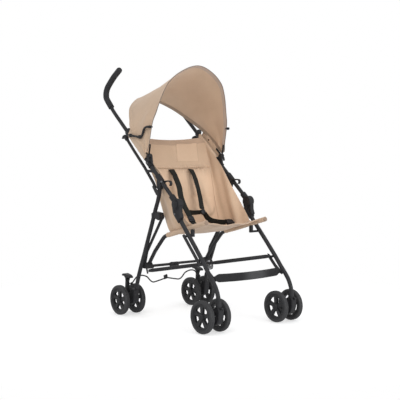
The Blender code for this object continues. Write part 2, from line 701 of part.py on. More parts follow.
def wheel(radius, name):
    """One wheel about the x axis, its blind bore open at -x; it stands on a flat facet of its tread."""
    half = WHEEL_WIDTH / 2
    rim = radius - 0.0155
    corner = radius / cos(pi / TYRE_FACETS)
    ring = lathe(
        ((half, rim), (-half, rim), (-half, corner - 0.0040), (-half * 0.60, corner), (half * 0.60, corner),
         (half, corner - 0.0040)),
        TYRE_FACETS,
    )
    ring.data.transform(Matrix.Rotation(pi / TYRE_FACETS, 4, 'X'))
    hub = lathe(
        ((0.0062, 0.0), (0.0062, HUB_BORE_R), (-half - 0.0020, HUB_BORE_R), (-half - 0.0020, 0.0115),
         (-half * 0.6, 0.0140), (half * 0.6, 0.0140), (half + 0.0012, 0.0120), (half + 0.0030, 0.0080),
         (half + 0.0030, 0.0)),
        10,
    )
    spokes = []
    for index in range(SPOKES):
        angle = 2 * pi * index / SPOKES + pi / 2
        bm = bmesh.new()
        bmesh.ops.create_cone(bm, cap_ends=True, segments=4, radius1=0.0080, radius2=0.0062, depth=rim - 0.0070)
        turn = (
            Matrix.Rotation(angle, 4, 'X') @ Matrix.Translation((0, 0, (rim + 0.0130) / 2))
            @ Matrix.Diagonal((0.95, 1.0, 1.0, 1.0)) @ Matrix.Rotation(radians(45), 4, 'Z')
        )
        bmesh.ops.transform(bm, verts=bm.verts, matrix=turn)
        spokes.append(from_bmesh(bm))
    done = joined(hub, ring, *spokes)
    mesh = done.data
    mesh.name = name
    mesh.shade_smooth()
    mesh.set_sharp_from_angle(angle=radians(35))
    bpy.data.objects.remove(done)
    return mesh


def cross_bar(side, lift):
    """The bar from the rear on -side to the front on +side, lifted off the middle along the pin."""
    y, z = CROSS_CENTRE
    normal = Vector((0.0, sin(CROSS_TILT), cos(CROSS_TILT)))
    forward = Vector((0.0, -cos(CROSS_TILT), sin(CROSS_TILT)))
    centre = at(0.0, y, z)
    start = centre - Vector((side * CROSS_SPAN_X, 0, 0)) - forward * CROSS_SPAN_Y + normal * lift
    end = centre + Vector((side * CROSS_SPAN_X, 0, 0)) + forward * CROSS_SPAN_Y + normal * lift
    way = (end - start).normalized()
    points = [start, start + way * 0.002, end - way * 0.002, end]
    bar = tube(points, CROSS_BAR_R, 3, (0.75, 1.0, 1.0, 0.75))
    bore = cylinder(centre + normal * (lift - 0.012), centre + normal * (lift + 0.012), 0.0034, 10)
    return cut(bar, bore)


def cross_pin():
    y, z = CROSS_CENTRE
    normal = Vector((0.0, sin(CROSS_TILT), cos(CROSS_TILT)))
    centre = at(0.0, y, z)
    reach = CROSS_STACK / 2 + CROSS_BAR_R
    shank = cylinder(centre - normal * (reach + 0.0020), centre + normal * (reach + 0.0020), 0.0030, 10)
    heads = [
        cylinder(centre + normal * sign * (reach + FIT), centre + normal * sign * (reach + 0.0060), 0.0070, 10)
        for sign in (-1, 1)
    ]
    return joined(shank, *heads)


FRONT_BOW = (
    (0.0405, 0.2030), (0.0600, 0.2030), (0.1150, 0.2015), (0.1500, 0.1975), (0.1800, 0.1890), (0.2120, 0.1800),
    (0.2450, 0.1700), (0.2800, 0.1560), (0.3100, 0.1380), (0.3400, 0.1040), (0.3600, 0.0700), (0.3740, 0.0360),
    (0.3800, 0.0),
)
REAR_BOW = (
    (0.0405, 0.2030), (0.0600, 0.2030), (0.1150, 0.2030), (0.1600, 0.1960), (0.2000, 0.1820), (0.2300, 0.1670),
    (0.2600, 0.1530), (0.2900, 0.1370), (0.3200, 0.1180), (0.3480, 0.0930), (0.3750, 0.0610), (0.3940, 0.0310),
    (0.4000, 0.0),
)


def canopy_cloth():
    """Sheet ruled between the two bows, a little hollow between them, with its hems as real thickness."""
    rows = 6
    pivot = Vector(PIVOT)
    columns = []
    for front, rear in zip(FRONT_BOW, REAR_BOW):
        column = []
        for row in range(rows + 1):
            share = row / rows
            radius_front, width_front = front
            radius_rear, width_rear = rear
            a = pivot + bow_direction(BOW_FRONT_TILT) * radius_front
            b = pivot + bow_direction(BOW_REAR_TILT) * radius_rear
            station = a.lerp(b, share)
            hollow = 0.010 * 4 * share * (1 - share) * min(radius_front / 0.25, 1.0) * (1 - width_front / 0.26)
            station = station - (station - pivot).normalized() * hollow
            width = width_front + (width_rear - width_front) * share
            column.append((width, station))
        columns.append(column)
    bm = bmesh.new()
    grid = []
    for column in columns:
        grid.append([bm.verts.new(at(-width, *station)) for width, station in column])
    for column in reversed(columns[:-1]):
        grid.append([bm.verts.new(at(width, *station)) for width, station in column])
    for left, right in zip(grid, grid[1:]):
        for row in range(rows):
            bm.faces.new((left[row], left[row + 1], right[row + 1], right[row]))
    sheet = from_bmesh(bm)
    thick = sheet.modifiers.new("cloth", 'SOLIDIFY')
    thick.thickness = CANOPY_CLOTH
    thick.offset = 0.0
    thick.use_even_offset = True
    return baked(sheet)


SLING_BACK = (
    (0.1395, 0.7500, 0.1805), (0.1180, 0.7080, 0.1795), (0.0960, 0.6680, 0.1780), (0.0700, 0.6250, 0.1700),
    (0.0480, 0.5800, 0.1610), (0.0310, 0.5300, 0.1560), (0.0180, 0.4800, 0.1530), (0.0030, 0.4380, 0.1500),
    (-0.0140, 0.3960, 0.1470), (-0.0260, 0.3660, 0.1450), (-0.0440, 0.3500, 0.1450),
)
SLING_FRONT_Y = -0.2700
SLING_SEAT_ROWS = 8
WING_START_ROW = 2


def sleeve_z(y):
    """Height of the seat tube's axis at station y, along its front run."""
    line = SEAT_TUBE_LINE[4:]
    for (y0, z0), (y1, z1) in zip(line, line[1:]):
        if y0 >= y >= y1:
            return z0 + (z1 - z0) * (y0 - y) / (y0 - y1)
    return line[-1][1]


def hem_z(y):
    """Height of the sling's edge, on the upper inner side of its sleeve."""
    return sleeve_z(y) + 0.0040


def seat_sling():
    """Back panel, side wings and seat panel as one sheet with its main folds, open at the front and top."""
    columns = (-1.0, -0.8, -0.6, -0.4, -0.2, 0.0, 0.2, 0.4, 0.6, 0.8, 1.0)
    edge_x = SLING_BACK[-1][2]
    seat_y = [
        SLING_BACK[-1][0] + (SLING_FRONT_Y - SLING_BACK[-1][0]) * k / SLING_SEAT_ROWS
        for k in range(SLING_SEAT_ROWS + 1)
    ]
    bm = bmesh.new()
    back = []
    for row, (y, z, half) in enumerate(SLING_BACK):
        line = []
        for share in columns:
            inner = 1 - share * share
            sag = 0.0
            if row < len(SLING_BACK) - 1:
                sag = 0.012 * inner
            pleat = 0.0
            if 3 <= row <= 8 and abs(share) < 0.95:
                pleat = 0.0022 * cos(5 * pi * share) * (1 if row % 2 else 0.5)
            drop = 0.015 * inner if row == 0 else 0.0
            rest = -0.022 * inner if row >= len(SLING_BACK) - 2 else 0.0
            line.append(bm.verts.new(at(share * half, y + sag + pleat, z - drop + rest)))
        back.append(line)
    seat = [back[-1]]
    for y in seat_y[1:]:
        along_seat = (seat_y[0] - y) / (seat_y[0] - seat_y[-1])
        line = []
        for share in columns:
            inner = 1 - share * share
            hollow = 0.022 + 0.010 * sin(pi * along_seat) - 0.013 * along_seat ** 2
            crease = 0.0020 * cos(4 * pi * share) * sin(pi * along_seat)
            edge = hem_z(y) if abs(share) > 0.99 else hem_z(y) - hollow * inner ** 0.7 + crease
            line.append(bm.verts.new(at(share * edge_x, y, edge)))
        seat.append(line)
    for upper, lower in zip(back, back[1:]):
        for k in range(len(columns) - 1):
            bm.faces.new((upper[k], upper[k + 1], lower[k + 1], lower[k]))
    for upper, lower in zip(seat, seat[1:]):
        for k in range(len(columns) - 1):
            bm.faces.new((upper[k], upper[k + 1], lower[k + 1], lower[k]))
    wing_rows = len(SLING_BACK) - 1 - WING_START_ROW
    start = SLING_BACK[WING_START_ROW]
    wing_end = 6
    for sign, edge in ((-1, 0), (1, -1)):
        previous = [back[WING_START_ROW][edge]] * (wing_end + 1)
        for step in range(1, wing_rows + 1):
            row = WING_START_ROW + step
            y, z, half = SLING_BACK[row]
            if row == len(SLING_BACK) - 1:
                current = [seat[k][edge] for k in range(wing_end + 1)]
            else:
                share = step / wing_rows
                outer_z = start[1] + (hem_z(seat_y[wing_end]) - start[1]) * share
                outer_y = start[0] + (seat_y[wing_end] - start[0]) * share ** 0.97
                outer_x = 0.1780 - 0.0130 * share - 0.012 * max(share - 0.8, 0.0) / 0.2
                current = [back[row][edge]]
                for k in range(1, wing_end + 1):
                    reach = k / wing_end
                    bulge = 0.0060 * sin(pi * reach) * sin(pi * share)
                    fold = 0.0016 * cos(3 * pi * reach) * share
                    px = half + (outer_x - half) * reach - bulge + fold
                    current.append(
                        bm.verts.new(at(sign * px, y + (outer_y - y) * reach, z + (outer_z - z) * reach))
                    )
            for k in range(wing_end):
                quad = []
                for vert in (previous[k], previous[k + 1], current[k + 1], current[k]):
                    if vert not in quad:
                        quad.append(vert)
                if len(quad) > 2:
                    bm.faces.new(quad)
            previous = current
    sheet = from_bmesh(bm)
    thick = sheet.modifiers.new("cloth", 'SOLIDIFY')
    thick.thickness = SLING_CLOTH
    thick.offset = 0.0
    return baked(sheet)


def ribbon(points, width, thickness, across=Vector((1, 0, 0))):
    """A flat strap along the points, its width along the across direction at each point."""
    bm = bmesh.new()
    rows = []
    for index, point in enumerate(points):
        before = points[max(index - 1, 0)]
        after = points[min(index + 1, len(points) - 1)]
        way = (after - before).normalized()
        wide = across[index] if isinstance(across, (list, tuple)) else across
        wide = (wide - way * wide.dot(way)).normalized()
        up = way.cross(wide).normalized()
        size = width[index] if isinstance(width, (list, tuple)) else width
        rows.append([
            bm.verts.new(point + wide * size / 2 * a + up * thickness / 2 * b)
            for a, b in ((-1, -1), (1, -1), (1, 1), (-1, 1))
        ])
    for first, second in zip(rows, rows[1:]):
        for k in range(4):
            bm.faces.new((first[k], first[(k + 1) % 4], second[(k + 1) % 4], second[k]))
    bm.faces.new(rows[0][::-1])
    bm.faces.new(rows[-1])
    return from_bmesh(bm)


def sling_face(x, z):
    """Point on the back panel's front face at x and height z."""
    sling = body.objects["seat_sling"]
    hit, place, normal, index = sling.ray_cast(at(x, -0.2000, z) - sling.location, Vector((0.0, 1.0, 0.0)))
    return place + sling.location


def shoulder_strap(side):
    """Hangs from its slot in the back panel to the waist."""
    slot = sling_face(side * 0.0525, 0.6100)
    top = (slot.x, slot.y - DATUM_Y - STRAP_THICK / 2 - (0.0010 if side > 0 else 0.0015), slot.z)
    if side < 0:
        line = (
            top, (-0.0550, 0.0450, 0.5970), (-0.0600, 0.0240, 0.5770), (-0.0623, -0.0020, 0.5400),
            (-0.0640, -0.0160, 0.4990), (-0.0625, -0.0380, 0.4600), (-0.0640, -0.0640, 0.4330), (-0.0610, -0.0830, 0.4060),
            (-0.0590, -0.0960, 0.3900),
        )
    else:
        line = (
            top, (0.0490, 0.0420, 0.5930), (0.0440, 0.0190, 0.5650), (0.0430, 0.0020, 0.5300),
            (0.0420, -0.0110, 0.4970), (0.0350, -0.0270, 0.4700), (0.0240, -0.0470, 0.4455),
        )
    return ribbon([at(*p) for p in line], STRAP_WIDTH, STRAP_THICK, Vector((1.0, 0.15 * side, 0.0)))


def strap_pad(line, width=STRAP_WIDTH, across=Vector((0.0, -0.6, 0.8))):
    return ribbon([at(*p) for p in line], width, STRAP_THICK, across)


black_tube = material("Frame_black", (0.035, 0.035, 0.038), 0.45, 0.3)
black_plastic = material("Plastic_black", (0.030, 0.030, 0.033), 0.55)
foam = material("Grip_foam", (0.028, 0.028, 0.030), 0.85)
rubber = material("Tyre_black", (0.028, 0.028, 0.030), 0.75)
beige = material("Cloth_beige", (0.58, 0.42, 0.30), 0.90)
webbing = material("Webbing_black", (0.020, 0.022, 0.020), 0.80)
steel = material("Pin_steel", (0.50, 0.50, 0.50), 0.35, 1.0)


def build_side(side, word):
    fixed = (
        ("handle_tube", handle_tube, black_tube, at(side * HANDLE_X, *KNOB)),
        ("grip", grip, foam, at(side * HANDLE_X, *GRIP_LINE[0])),
        ("back_tube", back_tube, black_tube, at(side * HANDLE_X, *BACK_LINE[-1])),
        ("hinge_housing", hinge_housing, black_plastic, at(side * HANDLE_X, *KNOB)),
        ("leg_bracket", leg_bracket, black_plastic, at(side * HANDLE_X, -0.0400, on_handle(-0.0400))),
        ("canopy_clamp", canopy_clamp, black_plastic, at(side * HANDLE_X, *PIVOT)),
        ("front_leg", front_leg, black_tube, at(side * LEG_X, *FRONT_LEG_LINE[0])),
        ("rear_leg", rear_leg, black_tube, at(side * LEG_X, *REAR_LEG_LINE[0])),
        ("seat_tube", seat_tube, black_tube, at(side * SEAT_TUBE_X, *SEAT_TUBE_LINE[0])),
        ("seat_sleeve", seat_sleeve, beige, at(side * SEAT_TUBE_X, -0.1200, 0.3660)),
        ("lower_link", lower_link, black_tube, at(side * 0.1715, 0.0750, 0.2720)),
        ("front_link", front_link, black_tube, at(side * 0.1990, *leg_axis(0.2680))),
        ("rear_axle_housing", rear_axle_housing, black_plastic, at(side * TRACK_X, REAR_AXLE_Y, REAR_WHEEL_R)),
        ("brake_pedal", brake_pedal, black_plastic, at(side * TRACK_X, 0.1890, 0.0930)),
        ("brake_wire", brake_wire, steel, at(side * 0.1875, BRAKE_WIRE_Y[side], 0.1290)),
        ("spreader", spreader, black_tube, at(side * 0.1500, SPREADER_Y[side], 0.2040)),
        ("canopy_clip", canopy_clip, black_plastic, at(side * 0.1990, *PIVOT)),
        ("canopy_stay", canopy_stay, black_plastic, at(side * 0.2085, *PIVOT)),
        ("caster", caster, black_plastic, at(side * TRACK_X, CASTER_STEM_Y, 0.1030)),
        ("lock_tab", lock_tab, black_plastic, at(side * TRACK_X, -0.4150, 0.0970)),
        ("shoulder_strap", shoulder_strap, webbing, at(side * 0.0530, 0.0590, 0.6100)),
    )
    for name, make, mat, origin in fixed:
        finish(make(side), name + "_" + word, mat, origin)


for old in list(bpy.data.objects):
    bpy.data.objects.remove(old)
bpy.context.scene.collection.children.link(body)
bpy.context.scene.collection.children.link(cutters)

finish(seat_sling(), "seat_sling", beige, at(0.0, -0.0440, 0.3450))
bpy.context.view_layer.update()
build_side(1, "left")
build_side(-1, "right")

for place, radius, axle_y in (("front", FRONT_WHEEL_R, FRONT_AXLE_Y), ("rear", REAR_WHEEL_R, REAR_AXLE_Y)):
    wheel_mesh = wheel(radius, "wheel_" + place)
    wheel_mesh.materials.append(rubber)
    for side, word in ((1, "left"), (-1, "right")):
        for offset, spot in ((TWIN_PITCH / 2, "outer"), (-TWIN_PITCH / 2, "inner")):
            outward = side if offset > 0 else -side
            finish(
                None, "wheel_" + place + "_" + word + "_" + spot, rubber,
                at(side * (TRACK_X + offset), axle_y, radius), wheel_mesh, 0.0 if outward > 0 else pi,
            )

finish(cross_bar(1, CROSS_STACK / 2), "cross_bar_upper", black_tube, at(0.0, *CROSS_CENTRE))
finish(cross_bar(-1, -CROSS_STACK / 2), "cross_bar_lower", black_tube, at(0.0, *CROSS_CENTRE))
finish(cross_pin(), "cross_pin", steel, at(0.0, *CROSS_CENTRE))
finish(canopy_cloth(), "canopy_cloth", beige, at(0.0, *PIVOT))

waist = joined(
    strap_pad(((-0.0528, -0.0500, 0.4370), (-0.0250, -0.0440, 0.4330), (0.0200, -0.0470, 0.4340)), 0.022),
    cylinder(at(0.0220, -0.0430, 0.4330), at(0.0220, -0.0540, 0.4360), 0.0106, 12),
)
finish(waist, "waist_strap", webbing, at(-0.0250, -0.0430, 0.4330))
lap = strap_pad(
    ((0.0332, -0.0500, 0.4300), (0.0380, -0.0610, 0.4110), (0.0480, -0.0740, 0.3960), (0.0680, -0.0900, 0.3890),
     (0.0880, -0.1010, 0.3860), (0.1050, -0.1050, 0.3850)),
)
finish(lap, "lap_strap", webbing, at(0.0480, -0.0740, 0.3960))
buckle = joined(
    box(at(0.1065, -0.1180, 0.3778), at(0.1345, -0.0920, 0.3918), 0.0020),
    box(at(0.1300, -0.1160, 0.3798), at(0.1449, -0.0940, 0.3898), 0.0015),
)
finish(buckle, "harness_buckle", black_plastic, at(0.1150, -0.1050, 0.3850))
strap_line = [
    at(x, -0.3560 - 0.012 * (1 - (x / STRAP_REACH) ** 2), 0.2050 - 0.003 * (1 - (x / STRAP_REACH) ** 2))
    for x in (-STRAP_REACH, -0.1650, -0.1500, -0.1200, -0.0800, -0.0400, 0.0, 0.0400, 0.0800, 0.1200, 0.1500, 0.1650, STRAP_REACH)
]
strap_width = [0.008, 0.017, 0.025, 0.030, 0.031, 0.031, 0.031, 0.031, 0.031, 0.030, 0.025, 0.017, 0.008]
finish(ribbon(strap_line, strap_width, 0.0025, Vector((0.0, 0.0, 1.0))), "foot_strap", webbing, strap_line[6])

for spare in list(cutters.objects):
    bpy.data.objects.remove(spare)
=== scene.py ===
import bpy
from math import atan2, cos, exp, pi, radians, sin, sqrt
from mathutils import Matrix, Vector, noise


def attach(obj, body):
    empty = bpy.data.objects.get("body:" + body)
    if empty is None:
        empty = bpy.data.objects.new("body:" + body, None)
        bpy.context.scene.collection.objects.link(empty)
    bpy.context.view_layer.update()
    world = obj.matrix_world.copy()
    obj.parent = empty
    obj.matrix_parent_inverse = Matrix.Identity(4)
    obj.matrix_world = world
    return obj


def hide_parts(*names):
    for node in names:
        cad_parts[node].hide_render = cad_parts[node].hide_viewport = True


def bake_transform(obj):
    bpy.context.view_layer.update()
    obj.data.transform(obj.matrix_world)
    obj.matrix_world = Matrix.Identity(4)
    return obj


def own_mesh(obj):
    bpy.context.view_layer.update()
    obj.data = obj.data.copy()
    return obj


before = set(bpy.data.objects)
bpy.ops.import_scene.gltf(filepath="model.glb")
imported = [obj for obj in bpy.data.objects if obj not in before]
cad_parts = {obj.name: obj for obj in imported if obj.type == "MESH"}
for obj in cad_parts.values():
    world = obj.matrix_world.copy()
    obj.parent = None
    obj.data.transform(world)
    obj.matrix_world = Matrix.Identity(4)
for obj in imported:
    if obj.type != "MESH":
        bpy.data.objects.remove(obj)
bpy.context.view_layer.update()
print("frame loaded")

datumY = 0.0322          # the side view's stations are measured from here
sides = ((1, "left"), (-1, "right"))


def place(x, y, z):
    return Vector((x, y + datumY, z))


# small helpers
def deselectAll():
    if bpy.context.mode != 'OBJECT':
        bpy.ops.object.mode_set(mode='OBJECT')
    bpy.ops.object.select_all(action='DESELECT')


def pick(obj):
    deselectAll()
    obj.select_set(True)
    bpy.context.view_layer.objects.active = obj


def addObject(name, data):
    obj = bpy.data.objects.new(name, data)
    bpy.context.scene.collection.objects.link(obj)
    return obj


def copyOf(source, name):
    return addObject(name, source.data.copy())


def applyModifiers(obj):
    pick(obj)
    for modifier in list(obj.modifiers):
        bpy.ops.object.modifier_apply(modifier=modifier.name)


def smoothShade(obj, angle=40):
    pick(obj)
    bpy.ops.object.shade_smooth_by_angle(angle=radians(angle))


def thicken(obj, thickness, offset=0.0):
    solid = obj.modifiers.new("thickness", 'SOLIDIFY')
    solid.thickness = thickness
    solid.offset = offset
    solid.use_even_offset = False
    applyModifiers(obj)


def joinPieces(name, pieces, angle=None):
    deselectAll()
    for obj in pieces:
        obj.select_set(True)
    bpy.context.view_layer.objects.active = pieces[0]
    bpy.ops.object.join()
    joined = bpy.context.object
    joined.name = name
    if angle:
        smoothShade(joined, angle)
    return joined


def selectFaces(obj, test):
    # selects the faces whose centre and normal pass the test, then opens edit mode
    pick(obj)
    for face in obj.data.polygons:
        face.select = bool(test(face.center, face.normal))
    for part in (*obj.data.edges, *obj.data.vertices):
        part.select = False
    bpy.context.tool_settings.mesh_select_mode = (False, False, True)
    bpy.ops.object.mode_set(mode='EDIT')


def faceOutwards(obj, closeEnds=False):
    # turns the normals outwards; a tube's open ends can be closed first
    pick(obj)
    bpy.ops.object.mode_set(mode='EDIT')
    if closeEnds:
        bpy.ops.mesh.select_all(action='DESELECT')
        bpy.context.tool_settings.mesh_select_mode = (True, False, False)
        bpy.ops.mesh.select_non_manifold()
        bpy.ops.mesh.edge_face_add()
    bpy.ops.mesh.select_all(action='SELECT')
    bpy.ops.mesh.normals_make_consistent(inside=False)
    bpy.ops.object.mode_set(mode='OBJECT')


def neighbours(line, index):
    return line[max(index - 1, 0)], line[min(index + 1, len(line) - 1)]


def smoothLine(points, steps):
    # a soft curve through the points, with so many steps between each two
    line = []
    last = len(points) - 1
    for index in range(last):
        knots = (points[max(index - 1, 0)], points[index], points[index + 1], points[min(index + 2, last)])
        for step in range(steps):
            t = step / steps
            line.append(tuple(
                0.5 * (2 * b + (c - a) * t + (2 * a - 5 * b + 4 * c - d) * t * t + (3 * b - a - 3 * c + d) * t ** 3)
                for a, b, c, d in zip(*knots)
            ))
    line.append(tuple(points[-1]))
    return line


def gridPiece(name, rows, uvRows, closedRound=False):
    # a sheet from rows of points, with its own uv map in metres
    mesh = bpy.data.meshes.new(name)
    count = len(rows[0])
    faces = []
    corners = []
    for r in range(len(rows) - 1):
        for c in range(count if closedRound else count - 1):
            d = (c + 1) % count
            faces.append((r * count + c, r * count + d, (r + 1) * count + d, (r + 1) * count + c))
            wrap = c + 1 if closedRound else d
            corners += [(r, c), (r, wrap), (r + 1, wrap), (r + 1, c)]
    mesh.from_pydata([tuple(p) for row in rows for p in row], [], faces)
    layer = mesh.uv_layers.new(name="cloth")
    for loop, (r, c) in enumerate(corners):
        layer.data[loop].uv = uvRows[r][c]
    return addObject(name, mesh)


def ease(value):
    value = min(max(value, 0.0), 1.0)
    return value * value * (3 - 2 * value)


def bump(distance, width):
    return exp(-(distance / width) ** 2)


def wrinkle(point, size, seed=0.0):
    return noise.noise(Vector((point[0] / size + seed, point[1] / size - seed, point[2] / size)))


def roundedBox(name, size, edge, segments=3, middle=(0, 0, 0)):
    # a block with rounded edges
    deselectAll()
    bpy.ops.mesh.primitive_cube_add(size=1.0, location=middle, scale=size)
    obj = bpy.context.object
    obj.name = name
    bpy.ops.object.transform_apply(location=True, rotation=True, scale=True)
    bpy.ops.object.mode_set(mode='EDIT')
    bpy.ops.mesh.select_all(action='SELECT')
    bpy.ops.mesh.bevel(offset=edge, segments=segments, affect='EDGES')
    bpy.ops.object.mode_set(mode='OBJECT')
    return obj


def spinProfile(name, points, steps):
    # the outline is drawn point by point as (x, distance from the axle) and spun about the axle
    deselectAll()
    bpy.ops.mesh.primitive_plane_add(size=0.01, location=(0, 0, 0))
    obj = bpy.context.object
    obj.name = name
    bpy.ops.object.mode_set(mode='EDIT')
    bpy.context.tool_settings.mesh_select_mode = (True, False, False)
    bpy.ops.mesh.select_all(action='SELECT')
    bpy.ops.mesh.merge(type='CENTER')
    bpy.ops.transform.translate(value=(points[0][0], 0.0, points[0][1]))
    for (x0, r0), (x1, r1) in zip(points, points[1:]):
        bpy.ops.mesh.extrude_vertices_move(TRANSFORM_OT_translate={"value": (x1 - x0, 0.0, r1 - r0)})
    bpy.ops.mesh.select_all(action='SELECT')
    bpy.ops.mesh.remove_doubles(threshold=0.00001)
    bpy.ops.mesh.select_all(action='SELECT')
    bpy.ops.mesh.spin(steps=steps, angle=2 * pi, center=(0, 0, 0), axis=(1, 0, 0))
    bpy.ops.mesh.select_all(action='SELECT')
    bpy.ops.mesh.remove_doubles(threshold=0.00001)
    bpy.ops.mesh.select_all(action='SELECT')
    bpy.ops.mesh.normals_make_consistent(inside=False)
    bpy.ops.object.mode_set(mode='OBJECT')
    return obj


def moveTo(obj, spot, xWay, zWay=(0, 0, 1)):
    # stands the piece at the spot with its own x axis along xWay
    x = Vector(xWay).normalized()
    z = (Vector(zWay) - x * Vector(zWay).dot(x)).normalized()
    turn = Matrix((x, z.cross(x), z)).transposed().to_4x4()
    obj.data.transform(Matrix.Translation(Vector(spot)) @ turn)
    obj.data.update()


def turned(name, points, spot, way, steps=28):
    # a round piece from (x, distance from the axis) points, set at the spot with its axis along way
    obj = spinProfile(name, points, steps)
    smoothShade(obj, 35)
    moveTo(obj, spot, way)
    return obj


def roundBar(name, line, radii, count=20, flat=None):
    # a round bar along a line of points, closed at both ends; radii may change along it
    rows = []
    for index, point in enumerate(line):
        before, after = neighbours(line, index)
        way = (Vector(after) - Vector(before)).normalized()
        wide = way.cross(Vector((0, 0, 1)) if abs(way.z) < 0.95 else Vector((0, 1, 0))).normalized()
        up = wide.cross(way)
        radius = radii[index] if isinstance(radii, list) else radii
        high = flat[index] if flat else radius
        rows.append([Vector(point) + wide * radius * cos(2 * pi * k / count) + up * high * sin(2 * pi * k / count)
                     for k in range(count)])
    uvRows = [[(0.01 * r, 0.002 * k) for k in range(count + 1)] for r in range(len(rows))]
    obj = gridPiece(name, rows, uvRows, closedRound=True)
    faceOutwards(obj, closeEnds=True)
    smoothShade(obj, 45)
    return obj


# finishes
def wire(tree, node, inputs):
    # an input takes a number, a colour or another node's output
    for name, value in inputs.items():
        if isinstance(value, bpy.types.NodeSocket):
            tree.links.new(value, node.inputs[name])
        else:
            node.inputs[name].default_value = value
    return node


def addNode(tree, kind, inputs={}):
    return wire(tree, tree.nodes.new('ShaderNode' + kind), inputs)


def newFinish(name, clothUv=False):
    made = bpy.data.materials.new(name)
    made.use_nodes = True
    tree = made.node_tree
    if clothUv:
        uv = addNode(tree, 'UVMap')
        uv.uv_map = "cloth"
        spot = uv.outputs['UV']
    else:
        spot = addNode(tree, 'TexCoord').outputs['Object']
    return made, tree, tree.nodes["Principled BSDF"], spot


def mathNode(tree, operation, a, b=0.0):
    node = addNode(tree, 'Math', {0: a, 1: b})
    node.operation = operation
    return node.outputs[0]


def noiseNode(tree, vector, scale, detail=3.0, roughness=0.5):
    inputs = {'Vector': vector, 'Scale': scale, 'Detail': detail, 'Roughness': roughness}
    return addNode(tree, 'TexNoise', inputs).outputs['Fac']


def waveNode(tree, vector, direction, pitch, distortion=0.0):
    inputs = {'Vector': vector, 'Scale': 0.3142 / pitch, 'Distortion': distortion}
    node = addNode(tree, 'TexWave', inputs)
    node.bands_direction = direction
    return node.outputs['Fac']


def rampNode(tree, fac, stops):
    node = addNode(tree, 'ValToRGB', {'Fac': fac})
    ramp = node.color_ramp
    for element, (position, colour) in zip(ramp.elements, (stops[0], stops[-1])):
        element.position = position
        element.color = (*colour, 1.0)
    for position, colour in stops[1:-1]:
        ramp.elements.new(position).color = (*colour, 1.0)
    return node.outputs['Color']


def mixNode(tree, a, b, factor, blend='MIX'):
    node = tree.nodes.new('ShaderNodeMix')
    node.data_type = 'RGBA'
    node.blend_type = blend
    return wire(tree, node, {'A': a, 'B': b, 'Factor': factor}).outputs['Result']


def bumpNode(tree, height, distance, strength, after=None):
    node = addNode(tree, 'Bump', {'Height': height, 'Distance': distance, 'Strength': strength})
    if after is not None:
        tree.links.new(after, node.inputs['Normal'])
    return node.outputs['Normal']


def mapRange(tree, value, low, high):
    return addNode(tree, 'MapRange', {'Value': value, 'To Min': low, 'To Max': high}).outputs['Result']


def paintFinish(name, dark, light, rough, metallic=0.0, gloss=0.24):
    # powder coat: fine orange peel, faint patches of handling, slightly polished high spots
    made, tree, shader, spot = newFinish(name)
    patches = noiseNode(tree, spot, 24.0, 4.0, 0.55)
    wire(tree, shader, {
        'Base Color': rampNode(tree, patches, ((0.30, dark), (0.70, light))),
        'Roughness': mapRange(tree, patches, *rough),
        'Normal': bumpNode(tree, noiseNode(tree, spot, 900.0, 2.0), 0.00006, 0.35),
        'Metallic': metallic,
        'Specular IOR Level': gloss,
    })
    return made


def mouldedFinish(name, dark, light, rough):
    # spark-eroded moulding texture with lighter scuffs
    made, tree, shader, spot = newFinish(name)
    scuffs = noiseNode(tree, spot, 38.0, 5.0, 0.6)
    pits = addNode(tree, 'TexVoronoi', {'Vector': spot, 'Scale': 1500.0}).outputs['Distance']
    wire(tree, shader, {
        'Base Color': rampNode(tree, scuffs, ((0.35, dark), (0.62, dark), (0.80, light))),
        'Roughness': mapRange(tree, scuffs, *rough),
        'Normal': bumpNode(tree, pits, 0.00008, 0.5),
        'Specular IOR Level': 0.28,
    })
    return made


def foamFinish(name):
    # open pores over a slow change of tone
    made, tree, shader, spot = newFinish(name)
    pores = noiseNode(tree, spot, 1100.0, 3.0, 0.65)
    tone = noiseNode(tree, spot, 30.0)
    wire(tree, shader, {
        'Base Color': rampNode(tree, tone, ((0.3, (0.024, 0.024, 0.026)), (0.7, (0.034, 0.034, 0.037)))),
        'Roughness': mapRange(tree, pores, 0.78, 0.95),
        'Normal': bumpNode(tree, pores, 0.00025, 0.8),
        'Specular IOR Level': 0.3,
    })
    return made


def rubberFinish(name):
    # matt rubber with a little dust
    made, tree, shader, spot = newFinish(name)
    dust = noiseNode(tree, spot, 45.0, 5.0, 0.65)
    wire(tree, shader, {
        'Base Color': rampNode(tree, dust, ((0.35, (0.020, 0.020, 0.022)), (0.75, (0.036, 0.036, 0.038)))),
        'Roughness': mapRange(tree, dust, 0.62, 0.82),
        'Normal': bumpNode(tree, noiseNode(tree, spot, 1400.0, 2.0), 0.00008, 0.4),
    })
    return made


